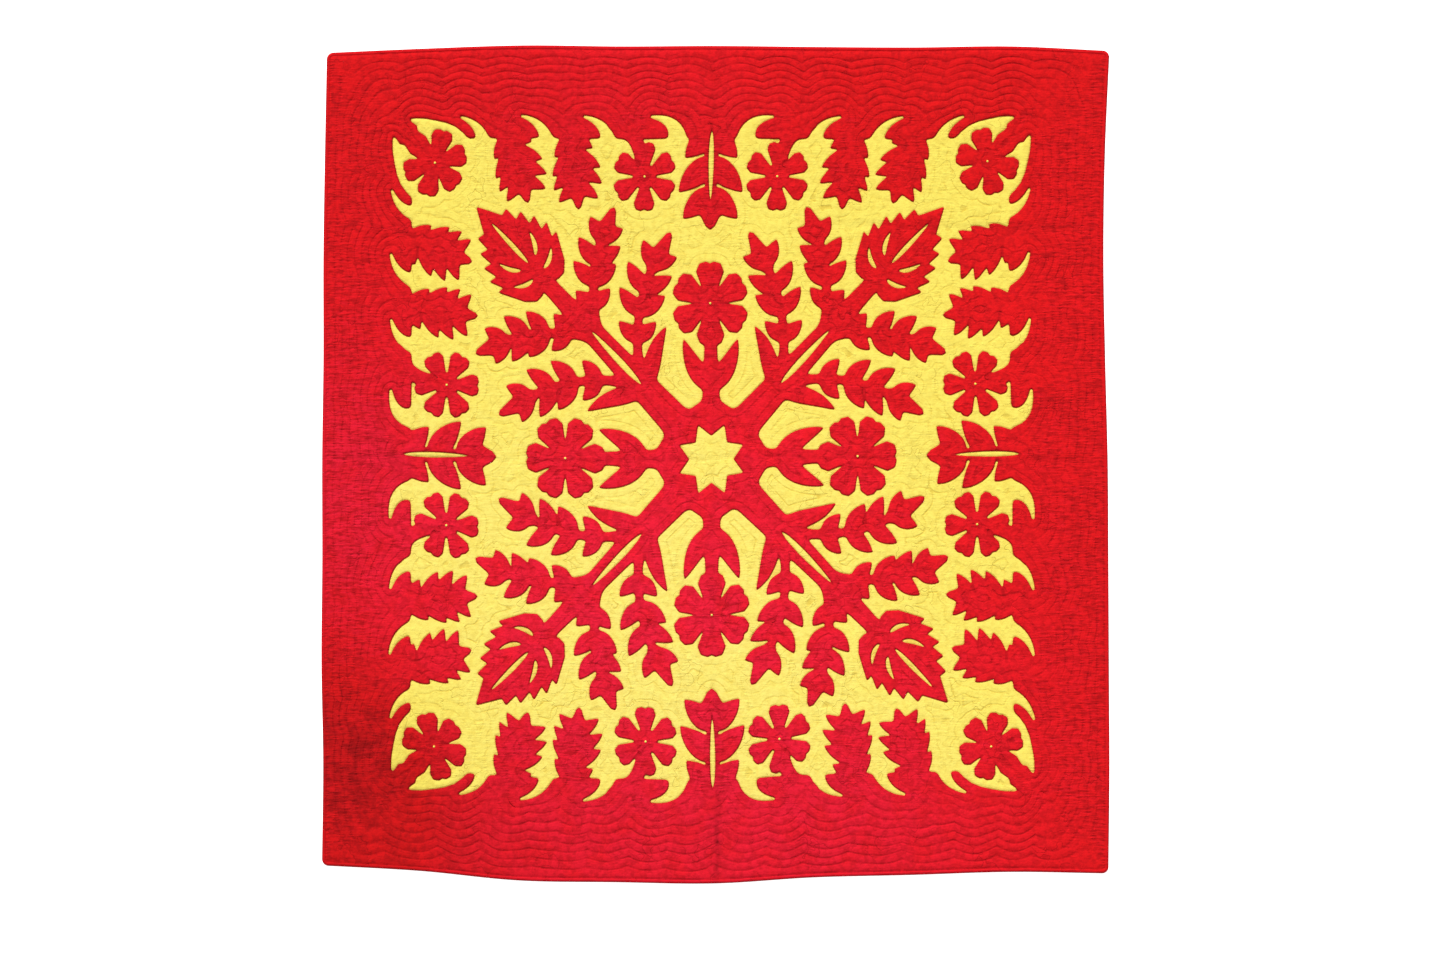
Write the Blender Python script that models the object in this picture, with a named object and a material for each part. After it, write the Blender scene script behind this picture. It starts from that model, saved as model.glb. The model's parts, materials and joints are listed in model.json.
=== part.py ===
"""A flat two-colour bed cover: cut red cloth sewn over yellow cloth, quilted and bound.

The cloth lies face up, with its width along X, its length along Y and its underside at Z = 0.
"""
import math

import bmesh
import bpy
import numpy as np
from mathutils import Vector, kdtree, noise
from mathutils.geometry import delaunay_2d_cdt

# Heights, in metres.
BODY_LOW = 0.0033
BODY_VALLEY = 0.0042
BODY_HIGH = 0.0056
CUT_UNDER = 0.0037
CUT_LOW = 0.0047
CUT_HIGH = 0.0065
RIM_UNDER = 0.0014
BINDING_TOP = 0.0061
BINDING_LIP = 0.0010
# Widths from the outer edge, in metres.
BINDING_WALL = 0.0015
BINDING_WIDTH = 0.0120
RIM_INSET = 0.0019
STEP_INSET = 0.0130
FLOOR_INSET = 0.0145
# Echo quilting.
ECHO_GAP = 0.0254
BORDER_ROWS = 9
RIM_ROUND = 2.2
BORDER_FROM = 0.225
BORDER_TO = 0.315
ROW_WOBBLE = 0.17
RULER_STEP = 0.008
OUTLINE_THIN = 0.0062
RING_THIN = 0.0085
HILL_THIN = 0.0060
LEAST_LOOP = 0.00050
RING_LEVELS = [-0.5 * i for i in range(4, 18)]
# Loose points on the first puffs beside the cut edges: row, gap between points in metres.
CUT_POINTS = ((-0.5, 0.115), (-1.0, 0.150), (-1.5, 0.130))
HILL_FOOT = 0.50
HILL_TOP = 0.85
HILL_POINTS = ((0.85, 0.095), (1.35, 0.090), (1.90, 0.090), (2.40, 0.100))
RIM_STRAIGHT = 10
RIM_ARC = 5
# Soft folds from storage: axis that the fold crosses, place, height, half width, reach from, reach to.
FOLDS = (
    (0, -0.598, 0.0012, 0.012, -1.24, 1.24),
    (0, -0.003, -0.0007, 0.012, -1.24, 1.24),
    (0, 0.586, 0.0012, 0.012, -1.24, 1.24),
    (1, 0.017, 0.0012, 0.012, -1.17, 1.17),
    (1, 0.725, -0.0007, 0.012, 0.30, 1.17),
)
FOLD_STEP = 0.110

# The cloth, in metres.
HALF_WIDTH = 1.200
HALF_LENGTH = 1.276
DESIGN_SHIFT = (-0.0089, 0.0131)
CORNER_RADIUS = 0.020
# The uneven outline: place along a side from -1 to 1, and where each side runs, in metres.
SIDES = (
    # place, left x, right x, bottom y, top y
    (-1.00, -1.1985, 1.1939, -1.2198, 1.2518),
    (-0.75, -1.1949, 1.1970, -1.2366, 1.2649),
    (-0.50, -1.2000, 1.1955, -1.2655, 1.2746),
    (-0.25, -1.1976, 1.1939, -1.2709, 1.2716),
    (0.00, -1.1979, 1.1919, -1.2746, 1.2731),
    (0.25, -1.1940, 1.1842, -1.2563, 1.2700),
    (0.50, -1.1940, 1.1788, -1.2487, 1.2685),
    (0.75, -1.1894, 1.1833, -1.2396, 1.2716),
    (1.00, -1.1833, 1.1970, -1.2441, 1.2579),
)


def side_run(place, column):
    """One side's position, smooth between the rows of the table."""
    rows = np.array(SIDES)
    gap = rows[1, 0] - rows[0, 0]
    where = np.clip((place - rows[0, 0]) / gap, 0.0, len(rows) - 1.0)
    k = np.minimum(where.astype(int), len(rows) - 2)
    f = where - k
    value = rows[:, column]
    slope = np.gradient(value)
    return (value[k] * (1 + 2 * f) * (1 - f) ** 2 + slope[k] * f * (1 - f) ** 2
            + value[k + 1] * f * f * (3 - 2 * f) + slope[k + 1] * f * f * (f - 1))


def lay_out(points):
    """From pattern units, -1 to 1 each way, to metres on the uneven cloth."""
    points = np.asarray(points, float)
    s, t = points[:, 0], points[:, 1]
    left, right = side_run(t, 1), side_run(t, 2)
    bottom, top = side_run(s, 3), side_run(s, 4)
    x = left + (right - left) * (s + 1) / 2
    y = bottom + (top - bottom) * (t + 1) / 2
    return np.stack([x, y], axis=1)


def pattern_place(points):
    """From metres on the uneven cloth back to pattern units, -1 to 1 each way."""
    points = np.asarray(points, float)
    x, y = points[:, 0], points[:, 1]
    s, t = x / HALF_WIDTH, y / HALF_LENGTH
    for _ in range(4):
        left, right = side_run(t, 1), side_run(t, 2)
        s = 2 * (x - left) / (right - left) - 1
        bottom, top = side_run(s, 3), side_run(s, 4)
        t = 2 * (y - bottom) / (top - bottom) - 1
    return np.stack([s, t], axis=1)


def rim_loop(inset, straight, arc):
    """The outline of the cloth drawn in by an inset, with small round corners."""
    wide, long = HALF_WIDTH - inset, HALF_LENGTH - inset
    radius = max(CORNER_RADIUS - inset, 0.002)
    points = []
    for turn in range(4):
        angle = math.pi / 2 * turn
        hand_x = 1 if turn in (0, 3) else -1
        hand_y = 1 if turn in (0, 1) else -1
        for i in range(arc):
            bend = angle + math.pi / 2 * i / (arc - 1)
            points.append((hand_x * (wide - radius) + radius * math.cos(bend),
                           hand_y * (long - radius) + radius * math.sin(bend)))
        after = math.pi / 2 * (turn + 1)
        next_x = 1 if turn in (3, 2) else -1
        next_y = 1 if turn in (0, 3) else -1
        end = points[-1]
        start = (next_x * (wide - radius) + radius * math.cos(after),
                 next_y * (long - radius) + radius * math.sin(after))
        for i in range(1, straight):
            share = i / straight
            points.append((end[0] + (start[0] - end[0]) * share, end[1] + (start[1] - end[1]) * share))
    return lay_out(np.array(points) / (HALF_WIDTH, HALF_LENGTH))


# The pattern, in units of half the quilt's width, for the eighth between an axis and a diagonal.
# Each row is mirrored over both, as in cloth that is folded three times and cut.
GRID_STEP = 0.0025
GRID_REACH = 0.840
FRAME_EDGE = 0.765
SOFT_JOIN = 0.010
LEAST_AREA = 0.00012

# grows from, start, bend, end, width at start, width at end
STEMS = (
    ("centre", (0.100, 0.000), (0.200, 0.000), (0.300, 0.000), 0.044, 0.024),
    ("centre", (0.070, 0.070), (0.250, 0.250), (0.460, 0.460), 0.078, 0.030),
    ("frame", (0.815, 0.250), (0.780, 0.190), (0.715, 0.182), 0.050, 0.024),
    ("frame", (0.840, 0.840), (0.780, 0.780), (0.720, 0.720), 0.062, 0.030),
)
# grows from, start, bend, end, width
LEAVES = (
    ("centre", (0.165, 0.000), (0.208, 0.045), (0.288, 0.070), 0.046),
    ("centre", (0.175, 0.150), (0.245, 0.160), (0.318, 0.112), 0.042),
)
# grows from, start, bend, end, pairs, leaflet length, leaflet width, lean in degrees, first pair
SPRAYS = (
    ("centre", (0.200, 0.180), (0.380, 0.212), (0.535, 0.105), 4, 0.080, 0.042, 50, 0.26),
    ("centre", (0.290, 0.285), (0.445, 0.325), (0.594, 0.250), 4, 0.074, 0.042, 50, 0.26),
    ("frame", (0.815, 0.000), (0.700, 0.000), (0.560, 0.000), 3, 0.104, 0.054, 50, 0.18),
    ("frame", (0.815, 0.375), (0.720, 0.345), (0.604, 0.338), 4, 0.080, 0.034, 54, 0.26),
    ("frame", (0.815, 0.545), (0.725, 0.500), (0.618, 0.470), 4, 0.082, 0.034, 54, 0.26),
)
# grows from, centre, radius, petals, turn in degrees, inner end of the cuts, width of the cuts
FLOWERS = (
    ("centre", (0.372, 0.000), 0.098, 6, 0, 0.38, 0.0085),
    ("frame", (0.675, 0.170), 0.083, 6, 180, 0.36, 0.0085),
    ("frame", (0.708, 0.708), 0.080, 6, 45, 0.38, 0.0085),
)
HEART_LEAF = ((0.440, 0.440), (0.597, 0.597), 0.195)
HEART_ROWS = (
    # along the leaf, across it
    (0.00, 0.00), (-0.10, 0.14), (-0.19, 0.30), (-0.19, 0.50), (-0.10, 0.72), (0.02, 0.86),
    (0.17, 1.04), (0.16, 0.86), (0.32, 1.02), (0.30, 0.80), (0.47, 0.90), (0.44, 0.68),
    (0.61, 0.72), (0.58, 0.50), (0.75, 0.50), (0.73, 0.32), (1.00, 0.00),
)
HUB = (0.150, 0.128)
STAR = (0.088, 0.056)
STAR_POINTS = 8
# yellow tongues in the frame: start, bend, end, width at start, width at end
TONGUES = (
    ((0.720, 0.095), (0.812, 0.066), (0.818, 0.158), 0.066, 0.006),
    ((0.720, 0.268), (0.800, 0.250), (0.818, 0.330), 0.050, 0.006),
    ((0.690, 0.418), (0.800, 0.405), (0.818, 0.490), 0.050, 0.006),
    ((0.700, 0.590), (0.790, 0.565), (0.818, 0.645), 0.050, 0.006),
    ((0.740, 0.680), (0.812, 0.690), (0.812, 0.790), 0.056, 0.008),
)
# a round yellow clearing about the corner flower: centre, radius
CLEARING = ((0.708, 0.708), 0.098)
# narrow cuts inside the leaves and stems: start, bend, end, width
VEINS = (
    ((0.462, 0.462), (0.510, 0.510), (0.568, 0.568), 0.012),
    ((0.482, 0.448), (0.510, 0.442), (0.545, 0.466), 0.011),
    ((0.452, 0.428), (0.470, 0.405), (0.508, 0.408), 0.011),
    ((0.175, 0.175), (0.240, 0.240), (0.310, 0.310), 0.016),
    ((0.790, 0.000), (0.700, 0.000), (0.610, 0.000), 0.013),
)


def bezier(start, bend, end, count):
    """Points, directions and left-hand normals along a bent line."""
    t = np.linspace(0.0, 1.0, count)[:, None]
    start, bend, end = np.array(start), np.array(bend), np.array(end)
    points = (1 - t) ** 2 * start + 2 * t * (1 - t) * bend + t ** 2 * end
    slope = 2 * (1 - t) * (bend - start) + 2 * t * (end - bend)
    slope = slope / np.linalg.norm(slope, axis=1)[:, None]
    return points, slope, np.stack([-slope[:, 1], slope[:, 0]], axis=1)


def stem(start, bend, end, width_start, width_end, count=13):
    points, _, side = bezier(start, bend, end, count)
    half = np.linspace(width_start, width_end, count)[:, None] / 2
    return np.concatenate([points + side * half, (points - side * half)[::-1]])


def leaf(start, bend, end, width, count=13):
    points, _, side = bezier(start, bend, end, count)
    t = np.linspace(0.0, 1.0, count)
    half = (width / 2 * np.maximum(np.sin(math.pi * t ** 0.8), 0.0) ** 0.8)[:, None]
    return np.concatenate([points + side * half, (points - side * half)[1:-1][::-1]])


def spray(start, bend, end, pairs, reach, width, lean, first):
    """A rib with pairs of leaflets that lean to its tip, and one leaflet at the tip."""
    count = 61
    points, slope, side = bezier(start, bend, end, count)
    shapes = [stem(start, bend, end, width * 0.60, width * 0.30)]
    angle = math.radians(lean)
    for i in range(pairs):
        k = int((first + (0.90 - first) * i / (pairs - 0.4)) * (count - 1))
        size = math.sin(math.pi * (0.22 + 0.62 * (i + 0.3) / pairs)) ** 0.8
        for hand in (1, -1):
            out = slope[k] * math.cos(angle) + side[k] * hand * math.sin(angle)
            far = points[k] + out * reach * size
            knee = points[k] + out * reach * size * 0.5 - slope[k] * reach * size * 0.10
            broad = width * (0.55 + 0.45 * size)
            shapes.append(leaf(points[k] - out * width * 0.2, knee, far, broad, 9))
    last = points[int((count - 1) * 0.70)]
    tip = points[-1] + slope[-1] * 0.010
    shapes.append(leaf(last, (last + tip) / 2, tip, width, 9))
    return shapes


def flower(centre, radius, petals, turn, inner, cut):
    """Round petals with a dip at the end, parted by narrow cuts."""
    pitch = 2 * math.pi / petals
    near = inner * radius
    edge_in = cut * 0.30 / near
    edge_out = cut * 1.25 / radius
    rows = ((-pitch / 2 + edge_in, near), (-pitch / 2 + edge_out, radius * 0.84),
            (-pitch * 0.26, radius * 0.985), (-pitch * 0.10, radius), (0.0, radius * 0.94),
            (pitch * 0.10, radius), (pitch * 0.26, radius * 0.985),
            (pitch / 2 - edge_out, radius * 0.84), (pitch / 2 - edge_in, near))
    points = []
    for i in range(petals):
        for angle, distance in rows:
            around = math.radians(turn) + i * pitch + angle
            points.append((centre[0] + distance * math.cos(around),
                           centre[1] + distance * math.sin(around)))
    return np.array(points)


def star(outer, inner, count, turn):
    angle = turn + np.arange(2 * count) * math.pi / count
    radius = np.where(np.arange(2 * count) % 2 == 0, outer, inner)
    return np.stack([radius * np.cos(angle), radius * np.sin(angle)], axis=1)


def heart_leaf(base, tip, width):
    base, tip = np.array(base), np.array(tip)
    along = tip - base
    across = np.array([-along[1], along[0]]) / np.linalg.norm(along) * width / 2
    left = [base + along * a + across * w for a, w in HEART_ROWS]
    right = [base + along * a - across * w for a, w in HEART_ROWS[1:-1]]
    return np.array(left + right[::-1])


def outline_distance(x, y, outline):
    """Distance from points to a closed outline, below zero inside it."""
    best = np.full(x.shape, 1e9)
    inside = np.zeros(x.shape, bool)
    for (ax, ay), (bx, by) in zip(outline, np.roll(outline, -1, axis=0)):
        dx, dy = bx - ax, by - ay
        t = np.clip(((x - ax) * dx + (y - ay) * dy) / max(dx * dx + dy * dy, 1e-12), 0.0, 1.0)
        best = np.minimum(best, (x - ax - t * dx) ** 2 + (y - ay - t * dy) ** 2)
        if ay != by:
            inside ^= ((ay > y) != (by > y)) & (x < dx * (y - ay) / dy + ax)
    return np.where(inside, -np.sqrt(best), np.sqrt(best))


def soft_union(a, b):
    blend = np.clip(0.5 + 0.5 * (b - a) / SOFT_JOIN, 0.0, 1.0)
    return b * (1 - blend) + a * blend - SOFT_JOIN * blend * (1 - blend)


def grow(values, x, y, shapes, join):
    """Joins shapes and their mirror copies to the field of values."""
    for shape in shapes:
        for copy in (shape, shape * (1, -1), shape[:, ::-1]):
            low, high = copy.min(axis=0) - 0.05, copy.max(axis=0) + 0.05
            near = (x > low[0]) & (x < high[0]) & (y > low[1]) & (y < high[1])
            if near.any():
                values[near] = join(values[near], outline_distance(x[near], y[near], copy))
    return values


def pattern_field():
    """Below zero on red cloth, above zero where the yellow cloth shows."""
    shapes = {"centre": [star(HUB[0], HUB[1], STAR_POINTS, 0.0), heart_leaf(*HEART_LEAF)], "frame": []}
    for where, *row in STEMS:
        shapes[where].append(stem(*row))
    for where, *row in LEAVES:
        shapes[where].append(leaf(*row))
    for where, *row in SPRAYS:
        shapes[where] += spray(*row)
    for where, *row in FLOWERS:
        shapes[where].append(flower(*row))
    count = int(round(GRID_REACH / GRID_STEP)) + 1
    axis = np.arange(count) * GRID_STEP
    x, y = np.meshgrid(axis, axis, indexing="ij")
    low = y <= x + GRID_STEP / 2
    x, y = x[low], y[low]
    tongues = [stem(*row) for row in TONGUES]
    tongues.append(star(CLEARING[1], CLEARING[1], 12, 0.0) + CLEARING[0])
    frame = FRAME_EDGE - x
    frame = -grow(-frame, x, y, tongues, soft_union)
    frame = grow(frame, x, y, shapes["frame"], soft_union)
    centre = grow(np.full(x.shape, 0.05), x, y, shapes["centre"], soft_union)
    red = np.minimum(frame, centre)
    cuts = [leaf(*row, 9) for row in VEINS]
    cuts.append(star(STAR[0], STAR[1], STAR_POINTS, math.pi / STAR_POINTS))
    red = grow(red, x, y, cuts, lambda a, b: np.maximum(a, -b))
    eighth = np.zeros((count, count))
    eighth[low] = red
    quarter = np.where(low, eighth, eighth.T)
    half = np.concatenate([quarter[:0:-1], quarter], axis=0)
    return np.concatenate([half[:, :0:-1], half], axis=1)


# which sides of a grid cell an outline joins, by the corners that are on red cloth
CELL_LINKS = {
    1: ("ws",), 2: ("se",), 3: ("we",), 4: ("en",), 5: ("ws", "en"), 6: ("sn",), 7: ("wn",), 8: ("nw",),
    9: ("ns",), 10: ("se", "nw"), 11: ("ne",), 12: ("ew",), 13: ("es",), 14: ("sw",),
}


def trace(values, level, step, origin):
    """Closed outlines where the values on a square grid cross a level."""
    field = values - level
    field = np.where(field == 0.0, 1e-9, field)
    inside = field < 0
    code = inside[:-1, :-1] * 1 + inside[1:, :-1] * 2 + inside[1:, 1:] * 4 + inside[:-1, 1:] * 8
    links = {}
    for i, j in np.argwhere((code > 0) & (code < 15)):
        sides = {"s": (0, i, j), "n": (0, i, j + 1), "w": (1, i, j), "e": (1, i + 1, j)}
        for pair in CELL_LINKS[int(code[i, j])]:
            links[sides[pair[0]]] = sides[pair[1]]
    loops = []
    while links:
        first, now = links.popitem()
        loop = [first]
        while now != first and now in links:
            loop.append(now)
            now = links.pop(now)
        if now != first or len(loop) < 3:
            continue
        points = []
        for turn, i, j in loop:
            a = field[i, j]
            b = field[i, j + 1] if turn else field[i + 1, j]
            share = a / (a - b)
            points.append((i, j + share) if turn else (i + share, j))
        loops.append(np.array(points) * step + origin)
    return loops


def loop_area(loop):
    after = np.roll(loop, -1, axis=0)
    return 0.5 * float(np.sum(loop[:, 0] * after[:, 1] - after[:, 0] * loop[:, 1]))


def thin_loop(loop, tolerance):
    """Keeps the points of an outline that it needs to stay within a tolerance."""
    loop = np.roll(loop, -int(np.argmax(np.sum(loop * loop, axis=1))), axis=0)
    count = len(loop)
    far = int(np.argmax(np.sum((loop - loop[0]) ** 2, axis=1)))
    ring = np.concatenate([loop, loop[:1]])
    keep = {0, far}
    spans = [(0, far), (far, count)]
    while spans:
        a, b = spans.pop()
        if b - a < 2:
            continue
        chord = ring[b] - ring[a]
        gap = ring[a + 1:b] - ring[a]
        t = np.clip(gap @ chord / max(float(chord @ chord), 1e-12), 0.0, 1.0)
        off = np.linalg.norm(gap - t[:, None] * chord, axis=1)
        k = int(np.argmax(off))
        if off[k] > tolerance:
            keep.add(a + 1 + k)
            spans += [(a, a + 1 + k), (a + 1 + k, b)]
    return loop[sorted(keep)]


def sample(grid, points, step, origin):
    """Reads a square grid at points, linear between its nodes."""
    where = (np.asarray(points) - origin) / step
    k = np.clip(where.astype(int), 0, np.array(grid.shape) - 2)
    f = np.clip(where - k, 0.0, 1.0)
    i, j = k[:, 0], k[:, 1]
    fx, fy = f[:, 0], f[:, 1]
    return ((grid[i, j] * (1 - fx) + grid[i + 1, j] * fx) * (1 - fy)
            + (grid[i, j + 1] * (1 - fx) + grid[i + 1, j + 1] * fx) * fy)


def within(points, loops):
    """True for points inside an odd number of the loops."""
    x, y = points[:, 0], points[:, 1]
    inside = np.zeros(len(points), bool)
    for loop in loops:
        for (ax, ay), (bx, by) in zip(loop, np.roll(loop, -1, axis=0)):
            if ay != by:
                inside ^= ((ay > y) != (by > y)) & (x < (bx - ax) * (y - ay) / (by - ay) + ax)
    return inside


def ripple(points, scale, seed):
    """Smooth noise from -1 to 1 at points, with hills about a scale apart."""
    return np.array([noise.noise(Vector((x / scale, y / scale, seed))) for x, y in points])


def rim_gap(points):
    """Distance to the binding's inner edge, rounded where two sides meet."""
    points = np.asarray(points)
    s, t = pattern_place(points).T
    sides = (points[:, 0] - side_run(t, 1), side_run(t, 2) - points[:, 0],
             points[:, 1] - side_run(s, 3), side_run(s, 4) - points[:, 1])
    near = [np.maximum(side - BINDING_WIDTH - 0.002, 1e-5) for side in sides]
    return sum(gap ** -RIM_ROUND for gap in near) ** (-1.0 / RIM_ROUND)


def echo_ruler(outlines, field, field_origin):
    """Rows of echo quilting counted from the cut edges, below zero on red cloth."""
    tree = kdtree.KDTree(sum(len(loop) for loop in outlines))
    index = 0
    for loop in outlines:
        for x, y in loop:
            tree.insert((x, y, 0.0), index)
            index += 1
    tree.balance()
    count_x = int(2 * (HALF_WIDTH + 0.02) / RULER_STEP) + 1
    count_y = int(2 * (HALF_LENGTH + 0.02) / RULER_STEP) + 1
    origin = np.array((-(count_x - 1) / 2 * RULER_STEP, -(count_y - 1) / 2 * RULER_STEP))
    x, y = np.meshgrid(np.arange(count_x), np.arange(count_y), indexing="ij")
    places = np.stack([x.ravel(), y.ravel()], axis=1) * RULER_STEP + origin
    cut_gap = np.array([tree.find((px, py, 0.0))[2] for px, py in places])
    rim = rim_gap(places)
    free = cut_gap / ECHO_GAP
    border = BORDER_ROWS * cut_gap / (cut_gap + rim)
    share = np.clip((rim - BORDER_FROM) / (BORDER_TO - BORDER_FROM), 0.0, 1.0)
    share = share * share * (3 - 2 * share)
    rows = border * (1 - share) + free * share
    wander = ripple(places, 0.075, 3.1) * 0.6 + ripple(places, 0.20, 7.7)
    fade = np.clip(rows / 1.5, 0.0, 1.0) * np.clip((BORDER_ROWS - rows) / 1.5, 0.0, 1.0)
    rows = rows + ROW_WOBBLE * wander * fade
    pattern = pattern_place(places) - DESIGN_SHIFT
    red = sample(field, pattern, GRID_STEP, field_origin) < 0
    outside = np.max(np.abs(pattern), axis=1) > GRID_REACH - GRID_STEP
    rows = np.where(red | outside, -rows, rows)
    return rows.reshape(count_x, count_y), origin


def fold_height(points):
    """The soft ridges and troughs left by storage folds."""
    height = np.zeros(len(points))
    for axis, place, rise, half, low, high in FOLDS:
        across = (points[:, axis] - place) / half
        along = points[:, 1 - axis]
        fade = np.clip((along - low) / 0.08, 0.0, 1.0) * np.clip((high - along) / 0.08, 0.0, 1.0)
        height += rise * np.exp(-across * across) * fade
    return height


def fold_lines(ruler, origin, clear):
    """Runs of points along the folds, where they keep clear of the cut edges."""
    lines = []
    for axis, place, _, _, low, high in FOLDS:
        along = np.arange(low, high, 0.004)
        points = np.zeros((len(along), 2))
        points[:, axis] = place
        points[:, 1 - axis] = along
        good = clear(sample(ruler, points, RULER_STEP, origin))
        start = None
        for i in range(len(along) + 1):
            if i < len(along) and good[i]:
                start = i if start is None else start
                continue
            if start is not None and i - start > 12:
                pieces = max(1, int(round((i - 1 - start) * 0.004 / FOLD_STEP)))
                picks = np.round(np.linspace(start, i - 1, pieces + 1)).astype(int)
                lines.append(points[picks])
            start = None
    return lines


def triangulate(outlines, inner_loops, lines):
    """Triangles inside the outlines that keep every loop and line as edges."""
    points, edges = [], []
    for loop in list(outlines) + list(inner_loops):
        first = len(points)
        points += [Vector((float(x), float(y))) for x, y in loop]
        edges += [(first + i, first + (i + 1) % len(loop)) for i in range(len(loop))]
    for line in lines:
        first = len(points)
        points += [Vector((float(x), float(y))) for x, y in line]
        edges += [(first + i, first + i + 1) for i in range(len(line) - 1)]
    found, _, faces, sources, _, _ = delaunay_2d_cdt(points, edges, [], 0, 1e-7)
    found = np.array([tuple(p) for p in found])
    rim_count = sum(len(loop) for loop in outlines)
    rim = {}
    for index, source in enumerate(sources):
        for k in source:
            if k < rim_count:
                rim[k] = index
    faces = np.array([tuple(face) for face in faces])
    centres = found[faces].mean(axis=1)
    return found, faces[within(centres, outlines)], rim


def solid_from(name, outlines, top, under, top_height, under_height):
    """A closed body between a top and an underside that share their outlines."""
    mesh = bpy.data.meshes.new(name)
    work = bmesh.new()
    sheets = []
    for (points, faces, rim), height in ((top, top_height), (under, under_height)):
        heights = height(points, set(rim.values()))
        used = sorted(set(faces.ravel()))
        verts = {k: work.verts.new((points[k, 0], points[k, 1], heights[k])) for k in used}
        for face in faces:
            work.faces.new([verts[k] for k in face])
        sheets.append({k: verts[index] for k, index in rim.items()})
    first = 0
    for loop in outlines:
        count = len(loop)
        for i in range(count):
            a, b = first + i, first + (i + 1) % count
            work.faces.new((sheets[0][a], sheets[0][b], sheets[1][b]))
            work.faces.new((sheets[0][a], sheets[1][b], sheets[1][a]))
        first += count
    bmesh.ops.recalc_face_normals(work, faces=work.faces)
    if work.calc_volume(signed=True) < 0:
        bmesh.ops.reverse_faces(work, faces=work.faces)
    work.to_mesh(mesh)
    work.free()
    part = bpy.data.objects.new(name, mesh)
    bpy.context.scene.collection.objects.link(part)
    return part


def bound_edge(name):
    """The narrow strip folded over the edge, a U in section."""
    section = (
        # inset from the outer edge, height
        (BINDING_WIDTH, BINDING_TOP - 0.0003), (BINDING_WIDTH, BINDING_TOP - BINDING_LIP),
        (BINDING_WALL, BINDING_TOP - BINDING_LIP), (BINDING_WALL, BINDING_LIP),
        (BINDING_WIDTH, BINDING_LIP), (BINDING_WIDTH, 0.0),
        (0.0010, 0.0), (0.0, 0.0012), (0.0, BINDING_TOP - 0.0016), (0.0014, BINDING_TOP),
    )
    rings = [rim_loop(inset, RIM_STRAIGHT, RIM_ARC) for inset, _ in section]
    mesh = bpy.data.meshes.new(name)
    work = bmesh.new()
    verts = [[work.verts.new((x, y, height)) for x, y in ring]
             for ring, (_, height) in zip(rings, section)]
    count = len(rings[0])
    for a in range(len(section)):
        b = (a + 1) % len(section)
        for i in range(count):
            j = (i + 1) % count
            work.faces.new((verts[a][i], verts[a][j], verts[b][j]))
            work.faces.new((verts[a][i], verts[b][j], verts[b][i]))
    bmesh.ops.recalc_face_normals(work, faces=work.faces)
    if work.calc_volume(signed=True) < 0:
        bmesh.ops.reverse_faces(work, faces=work.faces)
    work.to_mesh(mesh)
    work.free()
    part = bpy.data.objects.new(name, mesh)
    bpy.context.scene.collection.objects.link(part)
    return part


def dye(part, name, color):
    material = bpy.data.materials.new(name)
    material.use_nodes = True
    shader = material.node_tree.nodes["Principled BSDF"]
    shader.inputs["Base Color"].default_value = (*color, 1.0)
    shader.inputs["Roughness"].default_value = 0.85
    part.data.materials.append(material)


def ring_loops(ruler, origin, level, tolerance):
    loops = trace(ruler, level, RULER_STEP, origin)
    return [thin_loop(loop, tolerance) for loop in loops if abs(loop_area(loop)) > LEAST_LOOP]


def loose_points(ruler, origin, level, gap):
    """Points set evenly along one row of the ruler."""
    points = []
    for loop in trace(ruler, level, RULER_STEP, origin):
        if abs(loop_area(loop)) < LEAST_LOOP:
            continue
        step = np.linalg.norm(np.roll(loop, -1, axis=0) - loop, axis=1)
        along = np.concatenate([[0.0], np.cumsum(step)])
        count = max(2, int(round(along[-1] / gap)))
        ring = np.concatenate([loop, loop[:1]])
        for place in (np.arange(count) + 0.5) * along[-1] / count:
            points.append([[np.interp(place, along, ring[:, 0]), np.interp(place, along, ring[:, 1])]])
    return [np.array(point) for point in points]


def bump(rows):
    """Puffed between the stitch lines, which are at whole numbers."""
    return np.abs(np.sin(math.pi * np.clip(rows, 0.0, None))) ** 0.8


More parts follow.
